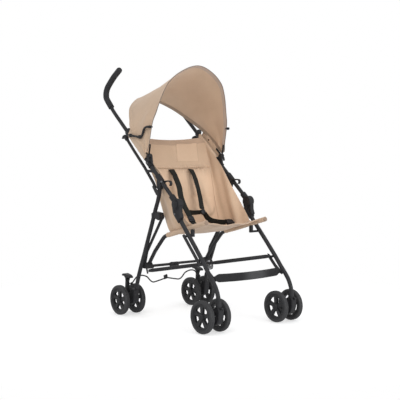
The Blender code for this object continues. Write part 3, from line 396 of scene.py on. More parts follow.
def clothFinish(name, light, dark, seams=False):
    # plain weave along the sheet's own uv map, mottled a little like dyed polyester
    made, tree, shader, spot = newFinish(name, clothUv=True)
    weave = mathNode(tree, 'MULTIPLY', *(waveNode(tree, spot, way, 0.0018, 0.25) for way in ('X', 'Y')))
    mottle = noiseNode(tree, spot, 11.0, 4.0, 0.55)
    slub = noiseNode(tree, spot, 420.0, 2.0)
    tone = mathNode(tree, 'ADD', mathNode(tree, 'MULTIPLY', mottle, 0.72), mathNode(tree, 'MULTIPLY', slub, 0.28))
    # painted shade: the valleys between the threads are painted darker
    weaveShade = rampNode(tree, weave, ((0.0, (0.80, 0.78, 0.76)), (0.5, (1.0, 1.0, 1.0))))
    dyed = mixNode(tree, rampNode(tree, tone, ((0.36, dark), (0.64, light))), weaveShade, 0.35, 'MULTIPLY')
    if seams:
        # the mesh's own values: stitching lines and painted shade in seams, gathers and creases dark; painted light on
        # the lower back and wings, and the paler patch, pale
        stitchShadingNode = addNode(tree, 'Attribute')
        stitchShadingNode.attribute_name = "seam"
        stops = ((0.0, (1.20, 1.20, 1.20)), (0.30, (0.96, 0.96, 0.96)), (1.0, (0.42, 0.36, 0.32)))
        dyed = mixNode(tree, dyed, rampNode(tree, stitchShadingNode.outputs['Fac'], stops), 1.0, 'MULTIPLY')
    crumple = bumpNode(tree, noiseNode(tree, spot, 34.0, 4.0, 0.6), 0.0016, 0.35)
    wire(tree, shader, {
        'Base Color': dyed,
        'Roughness': mapRange(tree, mottle, 0.82, 0.95),
        'Normal': bumpNode(tree, weave, 0.00022, 0.45, crumple),
        'Specular IOR Level': 0.25,
        'Sheen Weight': 0.18,
        'Sheen Roughness': 0.5,
    })
    return made


def paintedSheenMiddle(tree, colour, tone):
    # painted highlight: the middle of the foot strap is painted paler, standing in for a gloss reflection
    across = addNode(tree, 'SeparateXYZ', {0: addNode(tree, 'TexCoord').outputs['Object']}).outputs['X']
    away = mathNode(tree, 'ABSOLUTE', mathNode(tree, 'SUBTRACT', across, 0.035))
    middle = addNode(tree, 'MapRange', {'Value': away, 'From Min': 0.085, 'From Max': 0.020})
    middle.interpolation_type = 'SMOOTHSTEP'
    return mixNode(tree, colour, (tone, tone, tone * 1.03, 1.0), middle.outputs['Result'])


def webbingFinish(name, dark, light, paintedSheen=0.0):
    # ribs across the strap, from the strap's own uv map
    made, tree, shader, spot = newFinish(name, clothUv=True)
    ribs = waveNode(tree, spot, 'DIAGONAL', 0.0021)
    weave = mathNode(tree, 'MULTIPLY', ribs, waveNode(tree, spot, 'Y', 0.0016))
    tone = noiseNode(tree, spot, 90.0)
    ribShadeAndTone = mathNode(tree, 'ADD', mathNode(tree, 'MULTIPLY', weave, 0.6), mathNode(tree, 'MULTIPLY', tone, 0.4))
    # painted shade in the valleys of the ribs, over a random change of tone
    colour = rampNode(tree, ribShadeAndTone, ((0.2, dark), (0.8, light)))
    wire(tree, shader, {
        'Base Color': paintedSheenMiddle(tree, colour, paintedSheen) if paintedSheen else colour,
        'Roughness': mapRange(tree, tone, 0.62, 0.8),
        'Normal': bumpNode(tree, weave, 0.0003, 0.7),
        'Specular IOR Level': 0.22,
        'Sheen Weight': 0.03,
    })
    return made


tubeCoat = paintFinish("tubeCoat", (0.016, 0.016, 0.018), (0.025, 0.025, 0.027), (0.50, 0.62))
wireCoat = paintFinish("wireCoat", (0.014, 0.014, 0.015), (0.022, 0.022, 0.024), (0.48, 0.60))
pinMetal = paintFinish("pinMetal", (0.10, 0.10, 0.105), (0.17, 0.17, 0.175), (0.28, 0.40), metallic=1.0, gloss=0.45)
mouldedBlack = mouldedFinish("mouldedBlack", (0.013, 0.013, 0.015), (0.024, 0.024, 0.027), (0.50, 0.66))
wheelPlastic = mouldedFinish("wheelPlastic", (0.020, 0.020, 0.022), (0.032, 0.032, 0.034), (0.48, 0.62))
buckleBlack = mouldedFinish("buckleBlack", (0.012, 0.013, 0.016), (0.028, 0.029, 0.032), (0.30, 0.45))
foamGrip = foamFinish("foamGrip")
tyreRubber = rubberFinish("tyreRubber")
sandCloth = clothFinish("sandCloth", (0.640, 0.465, 0.330), (0.585, 0.420, 0.294))
# the sling's cloth, with stitching, painted shade and painted light from the mesh's own values
sewnShadedCloth = clothFinish("sewnShadedCloth", (0.640, 0.465, 0.330), (0.585, 0.420, 0.294), seams=True)
sleeveCloth = clothFinish("sleeveCloth", (0.640, 0.480, 0.350), (0.580, 0.430, 0.310))
# a darker copy of the sleeve cloth, as painted shade on the sleeves' closed ends
shadedCapCloth = clothFinish("shadedCapCloth", (0.330, 0.240, 0.180), (0.280, 0.200, 0.148))
hemCloth = clothFinish("hemCloth", (0.500, 0.360, 0.262), (0.440, 0.312, 0.226))
bandCloth = clothFinish("bandCloth", (0.500, 0.385, 0.310), (0.445, 0.335, 0.265))
rearBandCloth = clothFinish("rearBandCloth", (0.400, 0.295, 0.215), (0.340, 0.245, 0.178))
# dark cloth for the front piping, and painted shade for the rear hem's line
pipingAndShadowCloth = clothFinish("pipingAndShadowCloth", (0.200, 0.165, 0.145), (0.150, 0.122, 0.108))
blackWebbing = webbingFinish("blackWebbing", (0.006, 0.007, 0.006), (0.015, 0.017, 0.014))
# the foot strap carries a painted highlight across its middle
footWebbing = webbingFinish("footWebbing", (0.010, 0.010, 0.011), (0.024, 0.024, 0.026), paintedSheen=0.055)

coatedNodes = {
    tubeCoat: ("handle_tube", "back_tube", "front_leg", "rear_leg", "seat_tube", "lower_link", "front_link",
               "cross_bar", "spreader"),
    mouldedBlack: ("hinge_housing", "leg_bracket", "canopy_clamp", "canopy_clip", "canopy_stay", "caster",
                   "lock_tab", "rear_axle_housing", "brake_pedal"),
    wireCoat: ("brake_wire",),
    pinMetal: ("cross_pin",),
}
for finish, starts in coatedNodes.items():
    for name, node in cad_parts.items():
        if name.startswith(starts):
            if not node.material_slots:
                node.data.materials.append(finish)
            for slot in node.material_slots:
                slot.material = finish
print("finishes made")


def settle(obj, finish, body, slotName, *nodes):
    if not obj.material_slots:
        obj.data.materials.append(finish)
    if body:
        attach(obj, body)
    if nodes:
        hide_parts(*nodes)
    return obj


# canopy
canopy = {
    "pivot": (0.0266, 0.6680),
    "frontTilt": 12.0,
    "rearTilt": -50.0,
    "hollow": 0.010,
    "thickness": 0.0014,
    "frontHem": 0.0160,
    "rearHem": 0.0210,
    "hemThickness": 0.0007,
    "hemInset": 0.0016,
    "columnSteps": 8,
    "middleRows": 30,
    "foldedKeep": 0.54,
    "flat": (1.10, 0.42),
    "frontBow": (
        (0.0180, 0.2072), (0.0300, 0.2068), (0.0460, 0.2040), (0.0600, 0.2030), (0.1150, 0.2015), (0.1500, 0.1975),
        (0.1800, 0.1890), (0.2120, 0.1800), (0.2450, 0.1700), (0.2800, 0.1560), (0.3100, 0.1380), (0.3400, 0.1040),
        (0.3600, 0.0700), (0.3740, 0.0360), (0.3800, 0.0),
    ),
    "rearBow": (
        (0.0180, 0.2072), (0.0300, 0.2068), (0.0460, 0.2040), (0.0600, 0.2030), (0.1150, 0.2030), (0.1600, 0.1960),
        (0.2000, 0.1820), (0.2300, 0.1670), (0.2600, 0.1530), (0.2900, 0.1370), (0.3200, 0.1180), (0.3480, 0.0930),
        (0.3750, 0.0610), (0.3940, 0.0310), (0.4000, 0.0),
    ),
}


def bowWay(tilt):
    return Vector((-sin(radians(tilt)), cos(radians(tilt))))


def fullBow(points):
    near = [(r, -w) for r, w in points]
    far = [(r, w) for r, w in reversed(points[:-1])]
    return smoothLine(near + far, canopy["columnSteps"])


def canopyColumn(front, rear, distances):
    # one ruled line of the canopy, at so many metres from the front hem
    pivot = Vector(canopy["pivot"])
    start = pivot + bowWay(canopy["frontTilt"]) * front[0]
    end = pivot + bowWay(canopy["rearTilt"]) * rear[0]
    length = sqrt((end - start).length ** 2 + (rear[1] - front[1]) ** 2)
    column = []
    for distance in distances(length):
        share = distance / length
        station = start.lerp(end, share)
        hollow = canopy["hollow"] * 4 * share * (1 - share) * min(front[0] / 0.25, 1.0) * (1 - abs(front[1]) / 0.26)
        station = station - (station - pivot).normalized() * hollow
        column.append(place(front[1] + (rear[1] - front[1]) * share, *station))
    return column, length


def wholeDistances(length):
    front, rear, rows = canopy["frontHem"], canopy["rearHem"], canopy["middleRows"]
    first = [0.0, 0.002, 0.004, 0.007, 0.010, 0.013, front, front + 0.0012]
    last = [length - d for d in (rear + 0.0012, rear, 0.0165, 0.012, 0.008, 0.004, 0.0)]
    middle = [first[-1] + (last[0] - first[-1]) * (k + 1) / (rows + 1) for k in range(rows)]
    return first + middle + last


def frontDistances(length):
    return [min(canopy["frontHem"], length * 0.4) * k / 5 for k in range(6)]


def rearDistances(length):
    return [length - min(canopy["rearHem"], length * 0.4) * (5 - k) / 5 for k in range(6)]


def gridNormals(rows):
    normals = []
    for r, row in enumerate(rows):
        below, above = neighbours(rows, r)
        line = []
        for c in range(len(row)):
            before, after = neighbours(row, c)
            normal = (above[c] - below[c]).cross(after - before)
            line.append(normal.normalized() if normal.length > 1e-12 else Vector((0, 0, 1)))
        normals.append(line)
    return normals


def canopyRelief(distance, length, radius, across):
    # hems lie proud, seams pull in, and folds run down to the clips
    lift = 0.0
    for edge, width in ((distance, canopy["frontHem"]), (length - distance, canopy["rearHem"])):
        if edge <= width:
            lift += 0.0007 + 0.0010 * bump(edge - 0.0035, 0.0022)
        lift -= 0.0009 * bump(edge - width - 0.0004, 0.0011)
    share = distance / length
    lower = exp(-max(radius - 0.05, 0.0) / 0.085)
    lift += 0.0030 * lower * cos(2 * pi * 2.2 * share + 0.6) * sin(pi * min(max(share, 0.0), 1.0)) ** 0.5
    lift += 0.0022 * bump(radius - 0.17, 0.05) * sin(2 * pi * (1.6 * share + radius * 4))
    lift += 0.0016 * sin(pi * share) * wrinkle((across, radius, share * 0.3), 0.075, 3.1)
    return lift


bowLines = list(zip(fullBow(canopy["frontBow"]), fullBow(canopy["rearBow"])))


def canopySheet(name, distances, inset=0.0):
    columns, lengths = zip(*(canopyColumn(front, rear, distances) for front, rear in bowLines))
    normals = gridNormals(columns)
    rows = []
    uvs = []
    travel = 0.0
    for c, column in enumerate(columns):
        if c:
            travel += (column[0] - columns[c - 1][0]).length
        line = []
        uvLine = []
        for r, (point, distance) in enumerate(zip(column, distances(lengths[c]))):
            lift = canopyRelief(distance, lengths[c], *bowLines[c][0])
            line.append(point + normals[c][r] * (lift - inset))
            uvLine.append((travel, distance))
        rows.append(line)
        uvs.append(uvLine)
    return gridPiece(name, rows, uvs)


def squashWithFold(obj):
    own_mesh(obj)


canopyCloth = canopySheet("canopyCloth", wholeDistances)
thicken(canopyCloth, canopy["thickness"])
smoothShade(canopyCloth, 60)
settle(canopyCloth, sandCloth, "canopy", "cloth", "canopy_cloth")
canopyEdges = []
for name, distances, finish in (("canopyHemFront", frontDistances, bandCloth),
                                ("canopyHemRear", rearDistances, rearBandCloth)):
    hem = canopySheet(name, distances, canopy["hemInset"])
    thicken(hem, canopy["hemThickness"])
    smoothShade(hem, 60)
    canopyEdges.append(settle(hem, finish, "canopy", "cloth"))


def pipingAndShadowCord(name, reach, radius):
    # a round dark cord along an edge: sewn piping at the front, and at the rear a cord standing in for the shadow line;
    # reach gives its distance from the front hem
    curve = bpy.data.curves.new(name, 'CURVE')
    curve.dimensions = '3D'
    curve.bevel_depth = radius
    curve.bevel_resolution = 3
    curve.use_fill_caps = True
    spline = curve.splines.new('POLY')
    spline.points.add(len(bowLines) - 1)
    for knot, (front, rear) in zip(spline.points, bowLines):
        knot.co = (*canopyColumn(front, rear, reach)[0][0], 1.0)
    obj = addObject(name, curve)
    pick(obj)
    bpy.ops.object.convert(target='MESH')
    obj = bpy.context.object
    obj.name = name
    if not obj.data.uv_layers:
        obj.data.uv_layers.new(name="cloth")
    obj.data.uv_layers[0].name = "cloth"
    for loop in obj.data.loops:
        point = obj.data.vertices[loop.vertex_index].co
        obj.data.uv_layers[0].data[loop.index].uv = (point.x + point.z, point.y)
    smoothShade(obj, 60)
    return settle(obj, pipingAndShadowCloth, "canopy", "cloth")


canopyEdges.append(pipingAndShadowCord("canopyPiping", lambda length: [-0.0006], 0.0013))
# painted shade: a thin dark cord along the rear hem's edge stands in for its shadow line
canopyEdges.append(pipingAndShadowCord("canopyRearShadowCord", lambda length: [length + 0.0005], 0.0009))
for piece in (canopyCloth, *canopyEdges):
    squashWithFold(piece)

# the canopy's rear corners are sewn to sleeves round the handle tubes
handleSleeve = {
    "x": 0.1900,
    "top": (0.3057, 0.8760),
    "way": (0.7547, 0.6562),
    "from": 0.0530,
    "to": 0.1700,
    "profile": ((0.0106, 0.0300), (0.0103, 0.0250), (0.0100, 0.0190), (0.0099, 0.0120), (0.0098, 0.0060)),
    "radius": 0.0096,
    "rings": 26,
    "thickness": 0.0007,
    "flat": (0.1570, 0.0870),
}


def handlePoint(side, y, out, normal):
    # a point beside the handle tube: how far outwards, and how far in front of the tube's axis
    topY, topZ = handleSleeve["top"]
    wayY, wayZ = handleSleeve["way"]
    reach = (y - topY) / wayY
    return place(side * (handleSleeve["x"] + out), topY + wayY * reach - wayZ * normal,
                 topZ + wayZ * reach + wayY * normal)


def canopySleeve(side, word):
    rows = []
    uvs = []
    for r in range(handleSleeve["rings"] + 1):
        share = r / handleSleeve["rings"]
        y = handleSleeve["from"] + (handleSleeve["to"] - handleSleeve["from"]) * share
        taper = ease(share / 0.12) * 0.25 + 0.75
        section = [(out, normal * (taper if normal > 0.012 else 1.0)) for out, normal in handleSleeve["profile"]]
        for k in range(25):
            angle = radians(4 - 322 * k / 24)
            radius = handleSleeve["radius"] + 0.0004 * sin(2 * pi * y / 0.021 + 3 * angle) * (0.0 if k < 2 else 1.0)
            section.append((radius * cos(angle), radius * sin(angle)))
        row = []
        uvRow = []
        travel = 0.0
        for index, (out, normal) in enumerate(section):
            if index:
                travel += (Vector(section[index]) - Vector(section[index - 1])).length
            shift = 0.0012 * wrinkle((y, normal, side * 0.3), 0.018, 2.4) if normal < 0.02 else 0.0
            row.append(handlePoint(side, y + shift, out, normal))
            uvRow.append((y / handleSleeve["way"][0], travel))
        rows.append(row)
        uvs.append(uvRow)
    obj = gridPiece("canopySleeve" + word.capitalize(), rows, uvs)
    faceOutwards(obj)
    thicken(obj, handleSleeve["thickness"])
    smoothShade(obj, 60)
    settle(obj, sleeveCloth, "frame_" + word, "cloth")


# the V-shaped clip inside the canopy's cloth, the jointed stay outside it, and their studs
fittings = {
    "hub": ((0.0050, 0.0), (0.0050, 0.0070), (0.0038, 0.0095), (-0.0038, 0.0100), (-0.0048, 0.0085), (-0.0048, 0.0)),
    "hubX": 0.1981,
    "armX": 0.1973,
    "armSize": (0.0440, 0.0034, 0.0088),
    "armReach": 0.0270,
    "nubSize": (0.0034, 0.0100, 0.0150),
    "nubSpot": (0.2040, 0.0215, 0.6545),
    "stayX": 0.2110,
    "stayRadius": 0.0046,
    "stay": ((0.1354, 0.7530), (0.1040, 0.7496), (0.0700, 0.7460), (0.0560, 0.7500), (0.0470, 0.7640), (0.0390, 0.7790),
             (0.0240, 0.7860), (0.0020, 0.7860)),
    "knobs": ((0.1354, 0.7530, 0.0078, 0.2058), (0.0700, 0.7460, 0.0076, 0.2056), (0.0020, 0.7860, 0.0058, 0.2052)),
    "stud": ((0.0, 0.0), (0.0, 0.0036), (-0.0010, 0.0034), (-0.0018, 0.0020), (-0.0020, 0.0)),
    "studSpot": (0.1988, 0.0020, 0.7860),
    "sleeveStud": (0.1310, 0.0094, 0.0190),
}


def canopyClip(side, word):
    pivot = Vector(canopy["pivot"])
    pieces = [turned("clipHub", fittings["hub"], place(side * fittings["hubX"], *pivot), (side, 0, 0))]
    for tilt in (canopy["frontTilt"], canopy["rearTilt"]):
        way = bowWay(tilt)
        arm = roundedBox("clipArm", fittings["armSize"], 0.0012)
        selectFaces(arm, lambda centre, normal: centre.x > 0.02 and normal.x > 0.9)
        bpy.ops.transform.resize(value=(1.0, 0.9, 0.62))
        bpy.ops.object.mode_set(mode='OBJECT')
        middle = pivot + way * fittings["armReach"]
        moveTo(arm, place(side * fittings["armX"], *middle), (0, way.x, way.y), (0, -way.y, way.x))
        pieces.append(arm)
    nub = roundedBox("clipNub", fittings["nubSize"], 0.0012)
    x, y, z = fittings["nubSpot"]
    moveTo(nub, place(side * x, y, z), (side, 0, 0), (0, 0.25, 0.97))
    clip = joinPieces("canopyClip" + word.capitalize(), [*pieces, nub], 40)
    settle(clip, mouldedBlack, "canopy_side_" + word, "plastic", "canopy_clip_" + word)


def canopyStay(side, word):
    x = fittings["stayX"]
    line = smoothLine([place(side * x, y, z) for y, z in fittings["stay"]], 8)
    radii = [fittings["stayRadius"] + 0.0004 * cos(index * 0.35) for index in range(len(line))]
    pieces = [roundBar("stayRod", line, radii)]
    for y, z, radius, inner in fittings["knobs"]:
        outline = [(inner - x, 0.0), (inner - x, radius * 0.8), (inner - x + 0.0008, radius), (0.0036, radius),
                   (0.0050, radius * 0.72), (0.0054, radius * 0.3), (0.0054, 0.0)]
        pieces.append(turned("stayKnob", outline, place(side * x, y, z), (side, 0, 0)))
    stay = joinPieces("canopyStay" + word.capitalize(), pieces)
    settle(stay, mouldedBlack, "canopy_side_" + word, "plastic", "canopy_stay_" + word)


def clothStuds(side, word):
    x, y, z = fittings["studSpot"]
    for name, spot, body in (("canopyStud", place(side * x, y, z), "canopy_side_"),
                             ("sleeveStud", handlePoint(side, *fittings["sleeveStud"]), "frame_")):
        stud = turned(name + word.capitalize(), fittings["stud"], spot, (side, 0, 0))
        settle(stud, mouldedBlack, body + word, "plastic")


for side, word in sides:
    canopySleeve(side, word)
    canopyClip(side, word)
    canopyStay(side, word)
    clothStuds(side, word)

# seat sling
sling = {
    "back": (
        (0.1395, 0.7500, 0.1812), (0.1180, 0.7100, 0.1812), (0.0960, 0.6680, 0.1785), (0.0700, 0.6250, 0.1720),
        (0.0480, 0.5800, 0.1610), (0.0310, 0.5300, 0.1560), (0.0180, 0.4800, 0.1530), (0.0030, 0.4380, 0.1500),
        (-0.0140, 0.3960, 0.1470), (-0.0260, 0.3660, 0.1450), (-0.0440, 0.3500, 0.1450),
    ),
    "seatLine": ((-0.0400, 0.3460), (-0.1200, 0.3660), (-0.2000, 0.3880), (-0.2900, 0.4120)),
    "frontY": -0.2700,
    "seatRows": 8,
    "wingRow": 1,
    "wingEdge": (
        (0.1180, 0.7105, 0.1812), (0.0880, 0.6915, 0.1812), (0.0530, 0.6660, 0.1808), (0.0180, 0.6370, 0.1785),
        (-0.0200, 0.5990, 0.1755), (-0.0660, 0.5400, 0.1730), (-0.1130, 0.4820, 0.1700), (-0.1530, 0.4420, 0.1675),
        (-0.1800, 0.4130, 0.1610), (-0.2135, 0.3957, 0.1450),
    ),
    "wingReach": 6,
    "seamDown": 0.149,       # the waist seam, metres below the top hem
    "thickness": 0.0016,
    "hemLift": 0.0012,
    "flat": (0.36, 0.72),
}
backPanel, seatPanel, wingPanel = 0, 1, 2


def hemHeight(y):
    # the seat panel's edge, just above the middle of the tube it hangs on
    line = sling["seatLine"]
    for (y0, z0), (y1, z1) in zip(line, line[1:]):
        if y0 >= y >= y1:
            return z0 + (z1 - z0) * (y0 - y) / (y0 - y1) + 0.0040
    return line[-1][1] + 0.0040


def slingCage():
    # the coarse net of the sling: back panel, seat panel and the two side wings
    columns = [k / 5 - 1 for k in range(11)]
    back = sling["back"]
    edgeX = back[-1][2]
    rows = sling["seatRows"]
    seatY = [back[-1][0] + (sling["frontY"] - back[-1][0]) * k / rows for k in range(rows + 1)]
    points = []
    faces = []
    panels = []
    uvs = []

    def add(point):
        points.append(point)
        return len(points) - 1

    backGrid = []
    backUv = []
    down = 0.0
    for row, (y, z, half) in enumerate(back):
        if row:
            down += sqrt((y - back[row - 1][0]) ** 2 + (z - back[row - 1][1]) ** 2)
        line = []
        for share in columns:
            inner = 1 - share * share
            sag = 0.012 * inner if row < len(back) - 1 else 0.0
            drop = 0.015 * inner if row == 0 else 0.0
            rest = -0.007 * inner if row >= len(back) - 2 else 0.0
            line.append(add(place(share * half, y + sag, z - drop + rest)))
        backGrid.append(line)
        backUv.append([(share * half, -down) for share in columns])
    seatGrid = [backGrid[-1]]
    seatUv = [backUv[-1]]
    for y in seatY[1:]:
        alongSeat = (seatY[0] - y) / (seatY[0] - seatY[-1])
        line = []
        for share in columns:
            inner = 1 - share * share
            hollow = 0.007 + 0.004 * sin(pi * alongSeat) + 0.008 * alongSeat ** 3
            height = hemHeight(y) if abs(share) > 0.99 else hemHeight(y) - hollow * inner ** 0.7
            line.append(add(place(share * edgeX, y, height)))
        seatGrid.append(line)
        seatUv.append([(share * edgeX, -down - (seatY[0] - y)) for share in columns])

    def weave(grid, uvGrid, panel):
        for r in range(len(grid) - 1):
            for c in range(len(grid[0]) - 1):
                corners = ((r, c), (r, c + 1), (r + 1, c + 1), (r + 1, c))
                quad = []
                quadUv = []
                for a, b in corners:
                    if grid[a][b] not in quad:
                        quad.append(grid[a][b])
                        quadUv.append(uvGrid[a][b])
                if len(quad) > 2:
                    faces.append(quad)
                    uvs.append(quadUv)
                    panels.append(panel)

    weave(backGrid, backUv, backPanel)
    weave(seatGrid, seatUv, seatPanel)
    steps = len(back) - 1 - sling["wingRow"]
    reachEnd = sling["wingReach"]
    for sign, edge in ((-1, 0), (1, -1)):
        grid = [[backGrid[sling["wingRow"]][edge]] * (reachEnd + 1)]
        uvGrid = [[backUv[sling["wingRow"]][edge]] * (reachEnd + 1)]
        for step in range(1, steps + 1):
            row = sling["wingRow"] + step
            y, z, half = back[row]
            share = step / steps
            outerY, outerZ, outerX = sling["wingEdge"][step]
            if row == len(back) - 1:
                line = [seatGrid[k][edge] for k in range(reachEnd + 1)]
            else:
                line = [backGrid[row][edge]]
                for k in range(1, reachEnd + 1):
                    reach = k / reachEnd
                    bulge = 0.0060 * sin(pi * reach) * sin(pi * share)
                    line.append(add(place(
                        sign * (half + (outerX - half) * reach - bulge),
                        y + (outerY - y) * reach, z + (outerZ - z) * reach,
                    )))
            grid.append(line)
            span = sqrt((outerY - y) ** 2 + (outerZ - z) ** 2)
            uvGrid.append([(sign * (half + span * k / reachEnd), backUv[row][edge][1]) for k in range(reachEnd + 1)])
        weave(grid, uvGrid, wingPanel)
    mesh = bpy.data.meshes.new("seatSling")
    mesh.from_pydata([tuple(p) for p in points], [], faces)
    layer = mesh.uv_layers.new(name="cloth")
    for face, corners, panel in zip(mesh.polygons, uvs, panels):
        face.material_index = panel
        for loop, uv in zip(face.loop_indices, corners):
            layer.data[loop].uv = uv
    for _ in range(3):
        mesh.materials.append(sewnShadedCloth)
    obj = addObject("seatSling", mesh)
    faceOutwards(obj)
    return obj


def seamDepth(u):
    # the waist seam runs a little lower in the middle
    return sling["seamDown"] + 0.006 * (1 - (u / 0.17) ** 2)


def patchEdge(u, depth):
    # metres inside the stitched patch, negative outside it
    across = u - 0.030 + 0.26 * (depth - 0.020)
    return min(across, 0.112 - across, depth - 0.020, 0.122 - depth)


def slingRelief(panel, u, v, point):
    # how far the cloth stands out towards the sitter
    lift = 0.0
    if panel == backPanel:
        depth = -v
        fromSeam = depth - seamDepth(u)
        lift -= 0.0038 * bump(fromSeam, 0.0032)
        lift += 0.0026 * bump(fromSeam + 0.0075, 0.0045) + 0.0022 * bump(fromSeam - 0.0080, 0.0050)
        gather = 0.35 + 0.65 * ease((u + 0.01) / 0.05)
        below = exp(-abs(fromSeam) / (0.020 if fromSeam > 0 else 0.012))
        lift += 0.0026 * gather * below * sin(2 * pi * u / 0.023 + 1.7 * sin(u * 41))
        inside = patchEdge(u, depth)
        lift += 0.0016 * ease(0.5 + inside / 0.003) - 0.0012 * bump(inside, 0.0016)
        low = ease((depth - 0.16) / 0.12)
        lift += low * (0.0060 * bump(u - 0.118, 0.024) - 0.0024 * bump(u - 0.088, 0.016))
        lift += low * (0.0040 * bump(u + 0.122, 0.022) - 0.0018 * bump(u + 0.096, 0.015))
        lift += 0.0180 * bump(u - 0.078, 0.044) * bump(depth - 0.345, 0.030)
        lift -= 0.0070 * bump(u - 0.080, 0.050) * bump(depth - 0.288, 0.014)
        lift += 0.0060 * bump(u + 0.020, 0.045) * bump(depth - 0.372, 0.020)
        lift += 0.0022 * sin(pi * min(depth / 0.4, 1.0)) * wrinkle(point, 0.085, 1.7)
    elif panel == wingPanel:
        sign = 1 if u > 0 else -1
        reach = abs(u) - 0.150
        lower = ease((-v - 0.10) / 0.20)
        lift += 0.0045 * lower * sin(2 * pi * reach / 0.088 + 0.7 + 0.5 * sign)
        lift += 0.0014 * lower * sin(2 * pi * reach / 0.047 + 2.0)
        lift += 0.0022 * wrinkle(point, 0.070, 5.2)
    else:
        front = ease((-v - 0.47) / 0.20)
        lift += 0.0022 * sin(2 * pi * u / 0.105 + 0.8) * front
        lift += 0.0018 * wrinkle(point, 0.060, 8.4)
    return lift


def slingShade(panel, u, v):
    # painted shade and light on the sling, 0 to 1: stitching lines with painted shade in their grooves, painted shade
    # in the gathers, along the folds and under the bulge, and painted light that makes the lower back and the lower
    # wings paler; the patch is a touch paler
    if panel == backPanel:
        depth = -v
        fromSeam = depth - seamDepth(u)
        inside = patchEdge(u, depth)
        pale = 0.10 * ease(0.5 + inside / 0.003)
        # painted light and shade: the upper back darker, the lower back paler
        lit = 0.33 - 0.26 * ease((depth - 0.145) / 0.06)
        # painted shade in the gathers along the waist seam
        gather = 0.26 * exp(-abs(fromSeam - 0.004) / 0.012) * (0.35 + 0.65 * ease((u + 0.02) / 0.06))
        gather *= 0.5 + 0.5 * sin(2 * pi * u / 0.011 + 2 * sin(u * 50))
        fade = 1 - ease((abs(u) - 0.100) / 0.060)
        # painted shade under the bulge and along the folds beside the back
        fromBulge = sqrt(((u - 0.082) / 0.050) ** 2 + ((depth - 0.330) / 0.042) ** 2)
        creaseShade = 0.34 * bump(fromBulge - 1, 0.13) * ease((depth - 0.325) / 0.02)
        creaseShade += 0.20 * bump(u - 0.098 - 0.06 * (depth - 0.3), 0.010) * ease((depth - 0.17) / 0.08)
        creaseShade += 0.12 * bump(u + 0.104, 0.010) * ease((depth - 0.17) / 0.08)
        # the seam line and the patch's outline: stitching with painted shade in their grooves
        seam = 0.42 * bump(fromSeam, 0.0030) * fade
        return max(seam, 0.22 * bump(inside, 0.0018)) + gather * fade + creaseShade + lit - pale
    if panel == wingPanel:
        reach = abs(u) - 0.150
        lower = ease((-v - 0.12) / 0.16)
        # painted light on the lower wing, with painted shade along two of its folds
        return 0.30 + lower * (0.16 * bump(reach - 0.030, 0.010) + 0.12 * bump(reach - 0.074, 0.009) - 0.26)
    # painted light: the seat panel is painted a little lighter, with a thin dark line across it
    return 0.16 + 0.5 * bump(-v - 0.640, 0.0020)


seatSling = slingCage()
fine = seatSling.modifiers.new("fine", 'SUBSURF')
fine.levels = 4
fine.render_levels = 4
fine.use_limit_surface = False
applyModifiers(seatSling)
facing = {}
for face in seatSling.data.polygons:
    for loop, vert in zip(face.loop_indices, face.vertices):
        uv = seatSling.data.uv_layers["cloth"].data[loop].uv
        known = facing.get(vert)
        if known is None or face.material_index < known[0]:
            facing[vert] = (face.material_index, uv[0], uv[1])
towardSitter = Vector((0.0, -0.72, 0.69))
middleFace = min(seatSling.data.polygons, key=lambda f: (f.center - place(0.0, 0.03, 0.5)).length)
sense = 1 if middleFace.normal.dot(towardSitter) > 0 else -1
moves = []
for vert in seatSling.data.vertices:
    shift = vert.normal * sense * slingRelief(*facing[vert.index], vert.co)
    if abs(vert.co.x) < 1e-5:
        shift.x = 0.0
    moves.append(shift)
shading = seatSling.data.attributes.new("seam", 'FLOAT', 'POINT')
for vert, shift in zip(seatSling.data.vertices, moves):
    vert.co += shift
    shading.data[vert.index].value = min(max(slingShade(*facing[vert.index]), 0.0), 1.0)
for face in seatSling.data.polygons:
    face.material_index = 0


def bandOf(name, thickness, test):
    # a folded hem: the same cloth again, a little proud of the sheet
    band = copyOf(seatSling, name)
    selectFaces(band, lambda centre, normal: not test(centre))
    bpy.ops.mesh.delete(type='FACE')
    bpy.ops.mesh.select_all(action='SELECT')
    bpy.ops.transform.shrink_fatten(value=sense * sling["hemLift"])
    bpy.ops.object.mode_set(mode='OBJECT')
    thicken(band, thickness)
    band.data.materials.clear()
    band.data.materials.append(hemCloth)
    smoothShade(band, 60)
    return band


def splitHalves(obj):
    # both halves meet at the middle plane
    halves = []
    for side, word in sides:
        half = copyOf(obj, obj.name + word.capitalize())
        pick(half)
        bpy.ops.object.mode_set(mode='EDIT')
        bpy.ops.mesh.select_all(action='SELECT')
        bpy.ops.mesh.bisect(plane_co=(0, 0, 0), plane_no=(1, 0, 0), use_fill=True, threshold=0.000005,
                            clear_inner=side > 0, clear_outer=side < 0)
        bpy.ops.object.mode_set(mode='OBJECT')
        halves.append(half)
    bpy.data.objects.remove(obj)
    return halves


bendEnd = 0.145          # bendWhole works out its reach from this x


def bendWithFrame(obj, side, start=0.0, end=bendEnd):
    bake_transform(obj)


def bendWhole(obj, side, x):
    # a stiff piece gets the reach that the cloth at x would have, and its transform is baked into its mesh
    reach = 20.0
    start = x - x / bendEnd * reach
    bendWithFrame(obj, side, start, start + reach)


